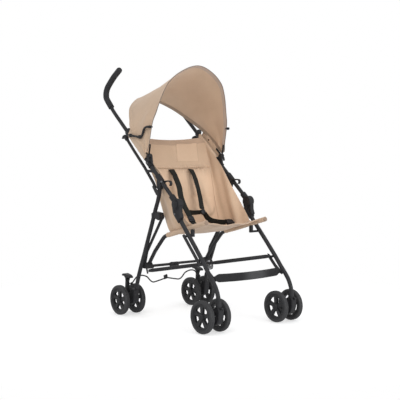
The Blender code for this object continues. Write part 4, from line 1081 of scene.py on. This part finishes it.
topHem = bandOf("slingTopHem", 0.0008, lambda c: c.y > 0.1665 - 0.25 * (c.x * c.x))
frontHem = bandOf("slingFrontHem", 0.0010, lambda c: c.y < sling["frontY"] + datumY + 0.0125)
thicken(seatSling, sling["thickness"])
smoothShade(seatSling, 60)
slingHalves = splitHalves(seatSling)
topHems, frontHems = splitHalves(topHem), splitHalves(frontHem)
for (side, _), half, *hems in zip(sides, slingHalves, topHems, frontHems):
    settle(half, sewnShadedCloth, None, "cloth", "seat_sling")
    bendWithFrame(half, side)
    for hem in hems:
        settle(hem, hemCloth, None, "cloth")
        bendWithFrame(hem, side)

# the sling's side hems, round the seat tubes and closed over their front ends
seatSleeve = {
    "line": ((-0.0440, 0.3470), (-0.0820, 0.3565), (-0.1200, 0.3660), (-0.1600, 0.3770), (-0.2000, 0.3880),
             (-0.2415, 0.3991), (-0.2905, 0.4121)),
    "x": 0.156,
    "radius": 0.0096,
    "cap": ((0.0012, 0.90), (0.0020, 0.72), (0.0025, 0.40), (0.0027, 0.06)),
    "capRadius": 0.0098,
    "capFrom": -0.2895,
    "columns": 30,
    "thickness": 0.0010,
    "flat": (0.0615, 0.2560),
}


def ringPoints(side, x, centre, up, radii):
    # a ring across a line that runs in the side view
    count = len(radii) - 1
    points = []
    for k, radius in enumerate(radii[:-1]):
        angle = 2 * pi * k / count
        points.append(place(side * (x + radius * cos(angle)), centre[0] + up.x * radius * sin(angle),
                            centre[1] + up.y * radius * sin(angle)))
    return points


def sleeveRound(side, word):
    path = smoothLine(seatSleeve["line"], 12)
    tip = Vector(path[-1])
    tipWay = (tip - Vector(path[-2])).normalized()
    cap = seatSleeve["cap"]
    path += [tuple(tip + tipWay * reach) for reach, _ in cap]
    angles = [2 * pi * k / seatSleeve["columns"] for k in range(seatSleeve["columns"] + 1)]
    rows = []
    uvs = []
    for index, (y, z) in enumerate(path):
        before, after = neighbours(path, index)
        way = tipWay if index > len(path) - len(cap) - 3 else (Vector(after) - Vector(before)).normalized()
        ends = min(index, len(path) - 1 - index)
        turnedIn = 0.0004 if ends in (2, 3) else -0.0009 if ends == 0 else 0.0
        if index >= len(path) - len(cap):
            radii = [seatSleeve["capRadius"] * cap[index - len(path)][1]] * len(angles)
        else:
            radii = [seatSleeve["radius"] + turnedIn + 0.0004 * wrinkle((y, z, angle * 0.02), 0.02, side)
                     + 0.00045 * sin(2 * pi * y / 0.016 + 2.2 * sin(angle)) * (0.4 + 0.6 * abs(sin(angle)))
                     for angle in angles]
        rows.append(ringPoints(side, seatSleeve["x"], (y, z), Vector((way.y, -way.x)), radii))
        uvs.append([(y, radius * angle) for radius, angle in zip(radii, angles)])
    obj = gridPiece("seatSleeve" + word.capitalize(), rows, uvs, closedRound=True)
    faceOutwards(obj)
    thicken(obj, seatSleeve["thickness"], -1.0)
    smoothShade(obj, 60)
    obj.data.materials.append(sandCloth)
    obj.data.materials.append(shadedCapCloth)
    # painted shade: the closed front ends are painted darker
    for face in obj.data.polygons:
        if face.center.y < datumY + seatSleeve["capFrom"]:
            face.material_index = 1
    settle(obj, sandCloth, "frame_" + word, "cloth", "seat_sleeve_" + word)


for side, word in sides:
    sleeveRound(side, word)

# harness and foot strap
harness = {
    "width": 0.0255,
    "waistWidth": 0.0240,
    "thickness": 0.0013,
    "rightShoulder": (
        (-0.0525, 0.0640, 0.6110), (-0.0550, 0.0450, 0.5970), (-0.0600, 0.0240, 0.5770), (-0.0623, -0.0020, 0.5400),
        (-0.0640, -0.0160, 0.4990), (-0.0625, -0.0380, 0.4600), (-0.0640, -0.0640, 0.4330),
        (-0.0610, -0.0830, 0.4060), (-0.0590, -0.0960, 0.3900),
    ),
    "leftShoulder": (
        (0.0525, 0.0640, 0.6110), (0.0490, 0.0420, 0.5930), (0.0440, 0.0190, 0.5650), (0.0430, 0.0020, 0.5300),
        (0.0420, -0.0110, 0.4970), (0.0350, -0.0270, 0.4700), (0.0240, -0.0470, 0.4455),
    ),
    "waist": ((-0.0528, -0.0500, 0.4370), (-0.0250, -0.0440, 0.4330), (0.0200, -0.0470, 0.4340)),
    "lap": (
        (0.0332, -0.0520, 0.4290), (0.0380, -0.0620, 0.4130), (0.0480, -0.0740, 0.4000), (0.0680, -0.0880, 0.3940),
        (0.0880, -0.0990, 0.3915), (0.1070, -0.1050, 0.3910),
    ),
    "rightBend": (-0.089, 0.271),
    "leftBend": (-0.0594, 0.3006),
    "slideSpot": (-0.0618, -0.0810, 0.4105),
    "knobSpot": (0.0240, -0.0530, 0.4350),
    "knob": ((-0.0040, 0.0), (-0.0040, 0.0112), (-0.0030, 0.0124), (0.0020, 0.0124), (0.0044, 0.0108),
             (0.0050, 0.0078), (0.0042, 0.0066), (0.0056, 0.0040), (0.0060, 0.0)),
    "buckleSpot": (0.1195, -0.1050, 0.3915),
}
footRest = {
    "reach": 0.1748,
    "middle": (-0.3560, 0.2050),
    "bow": (-0.012, -0.003),
    "endWidth": 0.014,
    "width": 0.032,
    "flatWidth": 0.034,
    "meanWidth": 0.033,
    "thickness": 0.0020,
    "foldedKeep": 0.457,
}


def strapPiece(name, points, widthAt, thickness, across, finish):
    # flat webbing: thin, slightly cupped, with turned edges
    line = [Vector(p) for p in smoothLine([tuple(place(*p)) for p in points], 10)]
    rows = []
    uvs = []
    travel = 0.0
    for index, point in enumerate(line):
        if index:
            travel += (point - line[index - 1]).length
        before, after = neighbours(line, index)
        way = (after - before).normalized()
        wide = (Vector(across) - way * Vector(across).dot(way)).normalized()
        up = way.cross(wide).normalized()
        width = widthAt(index / (len(line) - 1))
        row = []
        uvRow = []
        for k in range(9):
            share = k / 4 - 1
            cup = 0.0006 * (1 - share * share) + 0.0003 * sin(travel * 90 + share * 2)
            row.append(point + wide * width / 2 * share + up * cup)
            uvRow.append((travel, width / 2 * share))
        rows.append(row)
        uvs.append(uvRow)
    obj = gridPiece(name, rows, uvs)
    faceOutwards(obj)
    thicken(obj, thickness)
    smoothShade(obj, 50)
    obj.data.materials.append(finish)
    return obj, travel


def shoulderWidth(t):
    return harness["width"] * (1.10 - 0.10 * ease((t - 0.05) / 0.04))


for word, side in (("right", -1), ("left", 1)):
    strap, length = strapPiece(word + "ShoulderStrap", harness[word + "Shoulder"], shoulderWidth, harness["thickness"],
                               (1.0, 0.15 * side, 0.0), blackWebbing)
    settle(strap, blackWebbing, None, "webbing", "shoulder_strap_" + word)
    bendWithFrame(strap, side, *harness[word + "Bend"])
for word, side, width in (("waist", -1, harness["waistWidth"]), ("lap", 1, harness["width"])):
    strap, length = strapPiece(word + "Strap", harness[word], lambda t: width, harness["thickness"], (0.0, -0.6, 0.8),
                               blackWebbing)
    settle(strap, blackWebbing, None, "webbing", word + "_strap")
    bendWithFrame(strap, side)
footLine = []
for k in range(-8, 9):
    bow = 1 - (k / 8) ** 2
    footLine.append((footRest["reach"] * k / 8, footRest["middle"][0] + footRest["bow"][0] * bow,
                     footRest["middle"][1] + footRest["bow"][1] * bow))


def footWidth(t):
    return footRest["endWidth"] + (footRest["width"] - footRest["endWidth"]) * ease(min(t, 1 - t) / 0.07)


footStrap, length = strapPiece("footStrap", footLine, footWidth, footRest["thickness"], (0.0, 0.0, 1.0), footWebbing)
settle(footStrap, footWebbing, "centre", "webbing", "foot_strap")
squashWithFold(footStrap)


def slideBuckle():
    # a ladder-lock: a frame with two slots and a bar between them
    outer = roundedBox("slideFrame", (0.0300, 0.0240, 0.0056), 0.0014)
    selectFaces(outer, lambda centre, normal: normal.z > 0.95)
    bpy.ops.mesh.inset(thickness=0.0030)
    bpy.ops.transform.shrink_fatten(value=-0.0018)
    bpy.ops.object.mode_set(mode='OBJECT')
    bar = roundedBox("slideBar", (0.0290, 0.0046, 0.0062), 0.0016)
    ridge = roundedBox("slideRidge", (0.0296, 0.0030, 0.0076), 0.0013, middle=(0, 0.0100, 0))
    whole = joinPieces("shoulderSlide", [outer, bar, ridge], 40)
    facing = Vector((0, -0.82, 0.57))
    moveTo(whole, place(*harness["slideSpot"]), Vector((0.09, -0.573, -0.815)).cross(facing), facing)
    return settle(whole, buckleBlack, None, "plastic")


def sideBuckle():
    # a side-release buckle: a socket, two bowed prongs and the strap's bar
    socket = roundedBox("buckleSocket", (0.0260, 0.0260, 0.0130), 0.0026)
    selectFaces(socket, lambda centre, normal: abs(normal.z) > 0.95)
    bpy.ops.mesh.inset(thickness=0.0036)
    bpy.ops.transform.shrink_fatten(value=-0.0010)
    bpy.ops.object.mode_set(mode='OBJECT')
    pieces = [
        socket,
        roundedBox("buckleShoulder", (0.0090, 0.0220, 0.0100), 0.0020, middle=(0.0170, 0, 0)),
        roundedBox("buckleBar", (0.0060, 0.0280, 0.0085), 0.0022, middle=(0.0230, 0, 0)),
    ]
    for sign in (1, -1):
        prong = roundedBox("buckleProng", (0.0120, 0.0034, 0.0080), 0.0014)
        prong.data.transform(Matrix.Translation((0.0130, sign * 0.0115, 0)) @ Matrix.Rotation(-sign * 0.25, 4, 'Z'))
        pieces.append(prong)
    whole = joinPieces("harnessBuckle", pieces, 40)
    moveTo(whole, place(*harness["buckleSpot"]), (1, 0, 0.03), (0, -0.55, 0.83))
    return settle(whole, buckleBlack, None, "plastic", "harness_buckle")


bendWhole(slideBuckle(), -1, 0.0610)
waistKnob = turned("waistKnob", harness["knob"], place(*harness["knobSpot"]), (0, -0.96, 0.27), 36)
bendWhole(settle(waistKnob, buckleBlack, None, "plastic"), 1, 0.0310)
bendWhole(sideBuckle(), 1, 0.1150)
print("straps laid")

# wheels
wheelParts = {
    "frontRadius": 0.0635, "rearRadius": 0.0625, "half": 0.01025, "pitch": 0.0814, "trackX": 0.1930,
    "frontAxleY": -0.3589, "rearAxleY": 0.1845, "turns": 60, "spokes": 5, "spokeInner": 0.0125,
    "hub": ((0.0130, 0.0), (0.0130, 0.0045), (0.0122, 0.0062), (0.0108, 0.0066), (0.0108, 0.0080), (0.0118, 0.0086),
            (0.0118, 0.0102), (0.0104, 0.0118), (0.0090, 0.0136), (0.0060, 0.0142), (-0.0060, 0.0142),
            (-0.0092, 0.0134), (-0.0120, 0.0112), (-0.0120, 0.0)),
}


def tyrePiece(radius, front):
    # front tyres carry two rows of dimples, rear tyres ribs
    low = [(-0.0060, radius - 0.0145), (-0.0088, radius - 0.0125), (-wheelParts["half"], radius - 0.0090),
           (-0.0100, radius - 0.0045), (-0.0082, radius - 0.0014)]
    if front:
        tread = [(-0.0058, radius - 0.0003), (-0.0019, radius)]
    else:
        tread = [(-0.0064, radius - 0.0004), (-0.0050, radius - 0.0002), (-0.0047, radius - 0.0014),
                 (-0.0037, radius - 0.0014), (-0.0034, radius), (-0.0007, radius), (-0.0004, radius - 0.0013)]
    half = low + tread
    profile = half + [(-x, r) for x, r in reversed(half)]
    profile.append(profile[0])
    tyre = spinProfile("tyre", profile, wheelParts["turns"])
    if front:
        def dimple(centre, normal):
            distance = sqrt(centre.y ** 2 + centre.z ** 2)
            if distance < radius - 0.0012 or abs(centre.x) > 0.0057:
                return False
            turn = int(round(atan2(centre.z, centre.y) % (2 * pi) / (2 * pi / wheelParts["turns"]) - 0.5))
            return (turn + (0 if abs(centre.x) < 0.001 else 1)) % 2 == 0
        selectFaces(tyre, dimple)
        bpy.ops.mesh.inset(thickness=0.0009, use_individual=True)
        bpy.ops.transform.shrink_fatten(value=-0.0009)
        bpy.ops.object.mode_set(mode='OBJECT')
    smoothShade(tyre, 30)
    return tyre


def spokePiece(inner, outer):
    # wider towards the rim, with a hollow in both faces
    deselectAll()
    bpy.ops.mesh.primitive_cube_add(size=1.0, location=(0, 0, (inner + outer) / 2),
                                    scale=(0.0118, 0.0120, outer - inner))
    spoke = bpy.context.object
    bpy.ops.object.transform_apply(location=True, rotation=True, scale=True)
    selectFaces(spoke, lambda centre, normal: normal.z > 0.9)
    bpy.ops.transform.resize(value=(1.0, 1.45, 1.0))
    bpy.ops.object.mode_set(mode='OBJECT')
    selectFaces(spoke, lambda centre, normal: abs(normal.x) > 0.9)
    bpy.ops.mesh.inset(thickness=0.0026, use_individual=True)
    bpy.ops.transform.shrink_fatten(value=-0.0016)
    bpy.ops.mesh.select_all(action='SELECT')
    bpy.ops.mesh.bevel(offset=0.0006, segments=2, affect='EDGES')
    bpy.ops.object.mode_set(mode='OBJECT')
    return spoke


def rimPiece(radius):
    lip = radius - 0.0125
    flange = [(-0.0086, 0.0), (-0.0098, 0.0008), (-0.0098, 0.0028), (-0.0084, 0.0046), (-0.0066, 0.0052),
              (-0.0062, 0.0094), (-0.0052, 0.0104)]
    profile = [(x, lip - down) for x, down in flange] + [(-x, lip - down) for x, down in reversed(flange)]
    rim = spinProfile("rimRing", profile + profile[:1], wheelParts["turns"])
    hub = spinProfile("rimHub", wheelParts["hub"], 30)
    spokes = [spokePiece(wheelParts["spokeInner"], lip - 0.0090)]
    for index in range(1, wheelParts["spokes"]):
        copy = copyOf(spokes[0], "spoke")
        copy.data.transform(Matrix.Rotation(2 * pi * index / wheelParts["spokes"], 4, 'X'))
        spokes.append(copy)
    return joinPieces("rim", [rim, hub, *spokes], 35)


for spot in ("front", "rear"):
    radius = wheelParts[spot + "Radius"]
    tyre = tyrePiece(radius, spot == "front")
    rim = rimPiece(radius)
    for side, word in sides:
        for where, sign in (("outer", 1), ("inner", -1)):
            x = side * (wheelParts["trackX"] + sign * wheelParts["pitch"] / 2)
            move = Matrix.Translation(place(x, wheelParts[spot + "AxleY"], radius))
            if side != sign:
                move = move @ Matrix.Rotation(pi, 4, 'Z')
            node = "_".join(("wheel", spot, word, where))
            for source, kind, finish in ((tyre, "Tyre", tyreRubber), (rim, "Rim", wheelPlastic)):
                piece = copyOf(source, spot + word.capitalize() + where.capitalize() + kind)
                piece.data.transform(move)
                settle(piece, finish, node, "tyre", node)
    bpy.data.objects.remove(tyre)
    bpy.data.objects.remove(rim)
print("wheels turned")

# cross bars and brake wires
crossBars = {
    "centre": (-0.1200, 0.2200), "tilt": 10.6, "spanX": 0.1705, "spanY": 0.1890, "lift": 0.0068,
    "radius": 0.0078, "endRadius": 0.0058, "waist": 0.0064,
    "shares": (-1, -0.995, -0.97, -0.93, -0.60, -0.14, -0.08, -0.03, 0, 0.03, 0.08, 0.14, 0.60, 0.93, 0.97, 0.995, 1),
}
tilt = radians(crossBars["tilt"])
for word, sign in (("Upper", 1), ("Lower", -1)):
    reach = Vector((sign * crossBars["spanX"], -cos(tilt) * crossBars["spanY"], sin(tilt) * crossBars["spanY"]))
    middle = place(0, *crossBars["centre"]) + Vector((0.0, sin(tilt), cos(tilt))) * sign * crossBars["lift"]
    radii = []
    heights = []
    for share in crossBars["shares"]:
        end = ease((1 - abs(share)) / 0.07)
        radius = crossBars["endRadius"] + (crossBars["radius"] - crossBars["endRadius"]) * end
        radii.append(radius - (0.0014 if abs(share) == 1 else 0.0))
        heights.append(min(radii[-1], crossBars["waist"] + 0.02 * max(abs(share) - 0.06, 0.0)))
    bar = roundBar("crossBar" + word, [middle + reach * share for share in crossBars["shares"]], radii, 24, heights)
    settle(bar, tubeCoat, "cross_bar_" + word.lower(), "frame", "cross_bar_" + word.lower())

brakeWires = {
    "pinX": 0.1875, "radius": 0.0029, "y": {"left": 0.1705, "right": 0.1645}, "eyeHeight": 0.1290,
    "line": ((0.0045, 0.1330), (0.0155, 0.1450), (0.0275, 0.1560), (0.0445, 0.1600), (0.0615, 0.1585), (0.0815, 0.1510),
             (0.0975, 0.1350), (0.1135, 0.1260), (0.1385, 0.1290), (0.1835, 0.1380)),
    "eye": ((-0.0026, 0.0028), (-0.0026, 0.0058), (-0.0018, 0.0064), (0.0018, 0.0064), (0.0026, 0.0058),
            (0.0026, 0.0028), (-0.0026, 0.0028)),
    "jointSize": (0.0200, 0.0042, 0.0190), "jointX": -0.0060, "jointHeight": 0.1430,
}
for side, word in sides:
    y = brakeWires["y"][word]
    line = smoothLine([place(side * (brakeWires["pinX"] - inset), y, z) for inset, z in brakeWires["line"]], 6)
    pieces = [
        roundBar("wireRod", line, brakeWires["radius"], 16),
        turned("wireEye", brakeWires["eye"], place(side * brakeWires["pinX"], y, brakeWires["eyeHeight"]), (0, 1, 0)),
    ]
    if word == "right":
        joint = roundedBox("wireJoint", brakeWires["jointSize"], 0.0016)
        moveTo(joint, place(brakeWires["jointX"], y, brakeWires["jointHeight"]), (1, 0, 0.25))
        pieces.append(joint)
    bent = joinPieces("brakeWire" + word.capitalize(), pieces, 45)
    settle(bent, wireCoat, "brake_wire_" + word, "wire", "brake_wire_" + word)
print("bars and wires bent")

# rivets and bolt heads, set on the surfaces they hold, and the round covers of the folding hinges
rivets = {
    "frame": (("leg_bracket", -0.0600, 0.5660, 0.0046), ("hinge_housing", -0.1500, 0.4400, 0.0036),
              ("canopy_clamp", 0.0330, 0.6400, 0.0036), ("rear_axle_housing", 0.1600, 0.0760, 0.0034),
              ("lower_link", 0.0700, 0.2220, 0.0036), ("front_link", -0.3560, 0.2030, 0.0030)),
    "caster": (("caster", -0.4020, 0.0700, 0.0034),),
    "capSpot": (0.2040, -0.1520, 0.4780),
    "cap": ((-0.0030, 0.0), (-0.0030, 0.0172), (0.0010, 0.0176), (0.0026, 0.0166), (0.0034, 0.0140), (0.0030, 0.0112),
            (0.0040, 0.0094), (0.0046, 0.0050), (0.0046, 0.0)),
}


def rivetOn(nodeName, y, z, radius, side):
    # the head sits where a line from outside meets the node
    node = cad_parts[nodeName]
    back = node.matrix_world.inverted()
    hit, spot, normal, _ = node.ray_cast(back @ place(side * 0.35, y, z), back.to_3x3() @ Vector((-side, 0, 0)))
    if not hit:
        print("no surface for a rivet on", nodeName)
        return None
    outward = node.matrix_world.to_3x3() @ normal
    outline = [(-0.0006, 0.0), (-0.0006, radius), (0.0004, radius), (0.0012, radius * 0.86), (0.0018, radius * 0.5),
               (0.0016, radius * 0.42), (0.0010, radius * 0.36), (0.0010, 0.0)]
    return turned("rivet", outline, node.matrix_world @ spot, outward if abs(outward.x) > 0.5 else (side, 0, 0), 24)


for side, word in sides:
    x, y, z = rivets["capSpot"]
    cap = turned("hingeCap" + word.capitalize(), rivets["cap"], place(side * x, y, z), (side, 0, 0), 40)
    settle(cap, mouldedBlack, "frame_" + word, "plastic")
    for body in ("frame", "caster"):
        heads = [rivetOn(name + "_" + word, y, z, radius, side) for name, y, z, radius in rivets[body]]
        whole = joinPieces(body + "Rivets" + word.capitalize(), [head for head in heads if head], 35)
        settle(whole, pinMetal, body + "_" + word, "frame")
print("rivets set")

# grips
grips = {
    "x": 0.190,
    "radius": 0.0126,
    "columns": 32,
    "line": ((0.3057, 0.8760), (0.3400, 0.9127), (0.3452, 0.9270), (0.3440, 0.9425), (0.3360, 0.9590),
             (0.3230, 0.9730), (0.2850, 1.0050), (0.2500, 1.0280)),
    "end": ((0.004, 1.0), (0.0070, 0.985), (0.0092, 0.93), (0.0106, 0.84), (0.0114, 0.70), (0.0115, 0.45),
            (0.0112, 0.10)),
    "plug": ((-0.0030, 0.0), (-0.0030, 0.0096), (0.0008, 0.0100), (0.0016, 0.0092), (0.0018, 0.0066),
             (0.0010, 0.0058), (0.0010, 0.0)),
}


def gripPiece(side, word):
    path = [Vector(p) for p in smoothLine(grips["line"], 8)]
    endWay = (path[-1] - path[-2]).normalized()
    startWay = (path[1] - path[0]).normalized()
    shape = [(path[0] - startWay * 0.0010, 0.72), (path[0] - startWay * 0.0008, 0.92)]
    shape += [(p, 1.0 + 0.015 * sin(pi * i / len(path))) for i, p in enumerate(path)]
    shape += [(path[-1] + endWay * reach, scale) for reach, scale in grips["end"]]
    count = grips["columns"]
    rows = []
    uvs = []
    for index, (point, scale) in enumerate(shape):
        before, after = neighbours(shape, index)
        way = endWay if index >= len(shape) - 6 else (after[0] - before[0]).normalized()
        radius = grips["radius"] * scale
        rows.append(ringPoints(side, grips["x"], point, Vector((-way.y, way.x)), [radius] * (count + 1)))
        uvs.append([(index * 0.004, 2 * pi * k / count * radius) for k in range(count + 1)])
    obj = gridPiece("grip" + word.capitalize(), rows, uvs, closedRound=True)
    faceOutwards(obj, closeEnds=True)
    smoothShade(obj, 45)
    settle(obj, foamGrip, "frame_" + word, "foam", "grip_" + word)
    endSpot = path[-1] + endWay * grips["end"][-1][0]
    plug = turned("gripPlug" + word.capitalize(), grips["plug"], place(side * grips["x"], *endSpot),
                  (0, endWay.x, endWay.y))
    settle(plug, wheelPlastic, "frame_" + word, "foam")


for side, word in sides:
    gripPiece(side, word)
print("grips fitted")

# stage, lamps, camera
stageSet = {
    "floorSize": 14.0,
    "worldLight": 0.72,
    "worldTint": (0.97, 0.985, 1.0, 1.0),
    "floorTone": (0.66, 0.66, 0.66, 1.0),
    "floorGlow": 0.50,
    "whiteFrom": 0.55,
    "whiteTo": 1.3,
    "lamps": (("keyLamp", (-2.4, -1.6, 2.8), 2.0, 30.0), ("fillLamp", (0.2, -3.2, 1.0), 2.2, 44.0),
              ("backLamp", (0.8, 2.4, 2.6), 1.8, 12.0)),
    "lampAim": (0, 0, 0.5),
    "lensLength": 82.33,
    "cameraSpot": (-2.4157, -2.9480, 0.6776),
    "cameraTurn": (90 - 2.9, 0.0, -39.6212),
}


def mixShaders(tree, share, first, second):
    node = addNode(tree, 'MixShader', {0: share})
    tree.links.new(first, node.inputs[1])
    tree.links.new(second, node.inputs[2])
    return node.outputs[0]


def cameraOrGloss(tree):
    # the plain white shows to the camera and in gloss, and lights nothing
    path = addNode(tree, 'LightPath').outputs
    both = mathNode(tree, 'MAXIMUM', path['Is Camera Ray'], path['Is Glossy Ray'])
    return mathNode(tree, 'MAXIMUM', both, path['Is Transmission Ray'])


world = bpy.data.worlds.new("studio")
world.use_nodes = True
bpy.context.scene.world = world
tree = world.node_tree
tree.nodes.clear()
lit = addNode(tree, 'Background', {'Color': stageSet["worldTint"], 'Strength': stageSet["worldLight"]}).outputs[0]
seen = addNode(tree, 'Background', {'Color': (1.0, 1.0, 1.0, 1.0)}).outputs[0]
tree.links.new(mixShaders(tree, cameraOrGloss(tree), lit, seen), addNode(tree, 'OutputWorld').inputs['Surface'])

deselectAll()
bpy.ops.mesh.primitive_plane_add(size=stageSet["floorSize"], location=(0, 0, -0.0004))
floor = bpy.context.object
floor.name = "studioFloor"
floorFinish = bpy.data.materials.new("floorWhite")
floorFinish.use_nodes = True
tree = floorFinish.node_tree
tree.nodes.clear()
# round the buggy the floor takes shadows, and further out it fades to plain white
shaded = tree.nodes.new('ShaderNodeAddShader')
tree.links.new(addNode(tree, 'BsdfDiffuse', {'Color': stageSet["floorTone"]}).outputs[0], shaded.inputs[0])
tree.links.new(addNode(tree, 'Emission', {'Strength': stageSet["floorGlow"]}).outputs[0], shaded.inputs[1])
white = addNode(tree, 'Emission', {'Strength': 1.0}).outputs[0]
away = addNode(tree, 'VectorMath', {0: addNode(tree, 'TexCoord').outputs['Object']})
away.operation = 'LENGTH'
fade = addNode(tree, 'MapRange', {'Value': away.outputs['Value'], 'From Min': stageSet["whiteFrom"],
                                  'From Max': stageSet["whiteTo"]})
near = mixShaders(tree, fade.outputs[0], shaded.outputs[0], white)
bounce = addNode(tree, 'BsdfDiffuse', {'Color': (0.80, 0.80, 0.80, 1.0)}).outputs[0]
tree.links.new(mixShaders(tree, cameraOrGloss(tree), bounce, near), addNode(tree, 'OutputMaterial').inputs['Surface'])
floor.data.materials.append(floorFinish)

for name, spot, size, power in stageSet["lamps"]:
    lamp = bpy.data.lights.new(name, 'AREA')
    lamp.shape = 'DISK'
    lamp.size = size
    lamp.energy = power
    obj = addObject(name, lamp)
    obj.location = spot
    obj.rotation_euler = (Vector(stageSet["lampAim"]) - Vector(spot)).to_track_quat('-Z', 'Y').to_euler()

lens = bpy.data.cameras.new("camera")
lens.sensor_width = 36.0
lens.lens = stageSet["lensLength"]
camera = addObject("camera", lens)
camera.location = stageSet["cameraSpot"]
camera.rotation_euler = [radians(angle) for angle in stageSet["cameraTurn"]]
bpy.context.scene.camera = camera
bpy.context.scene.view_settings.view_transform = 'Standard'
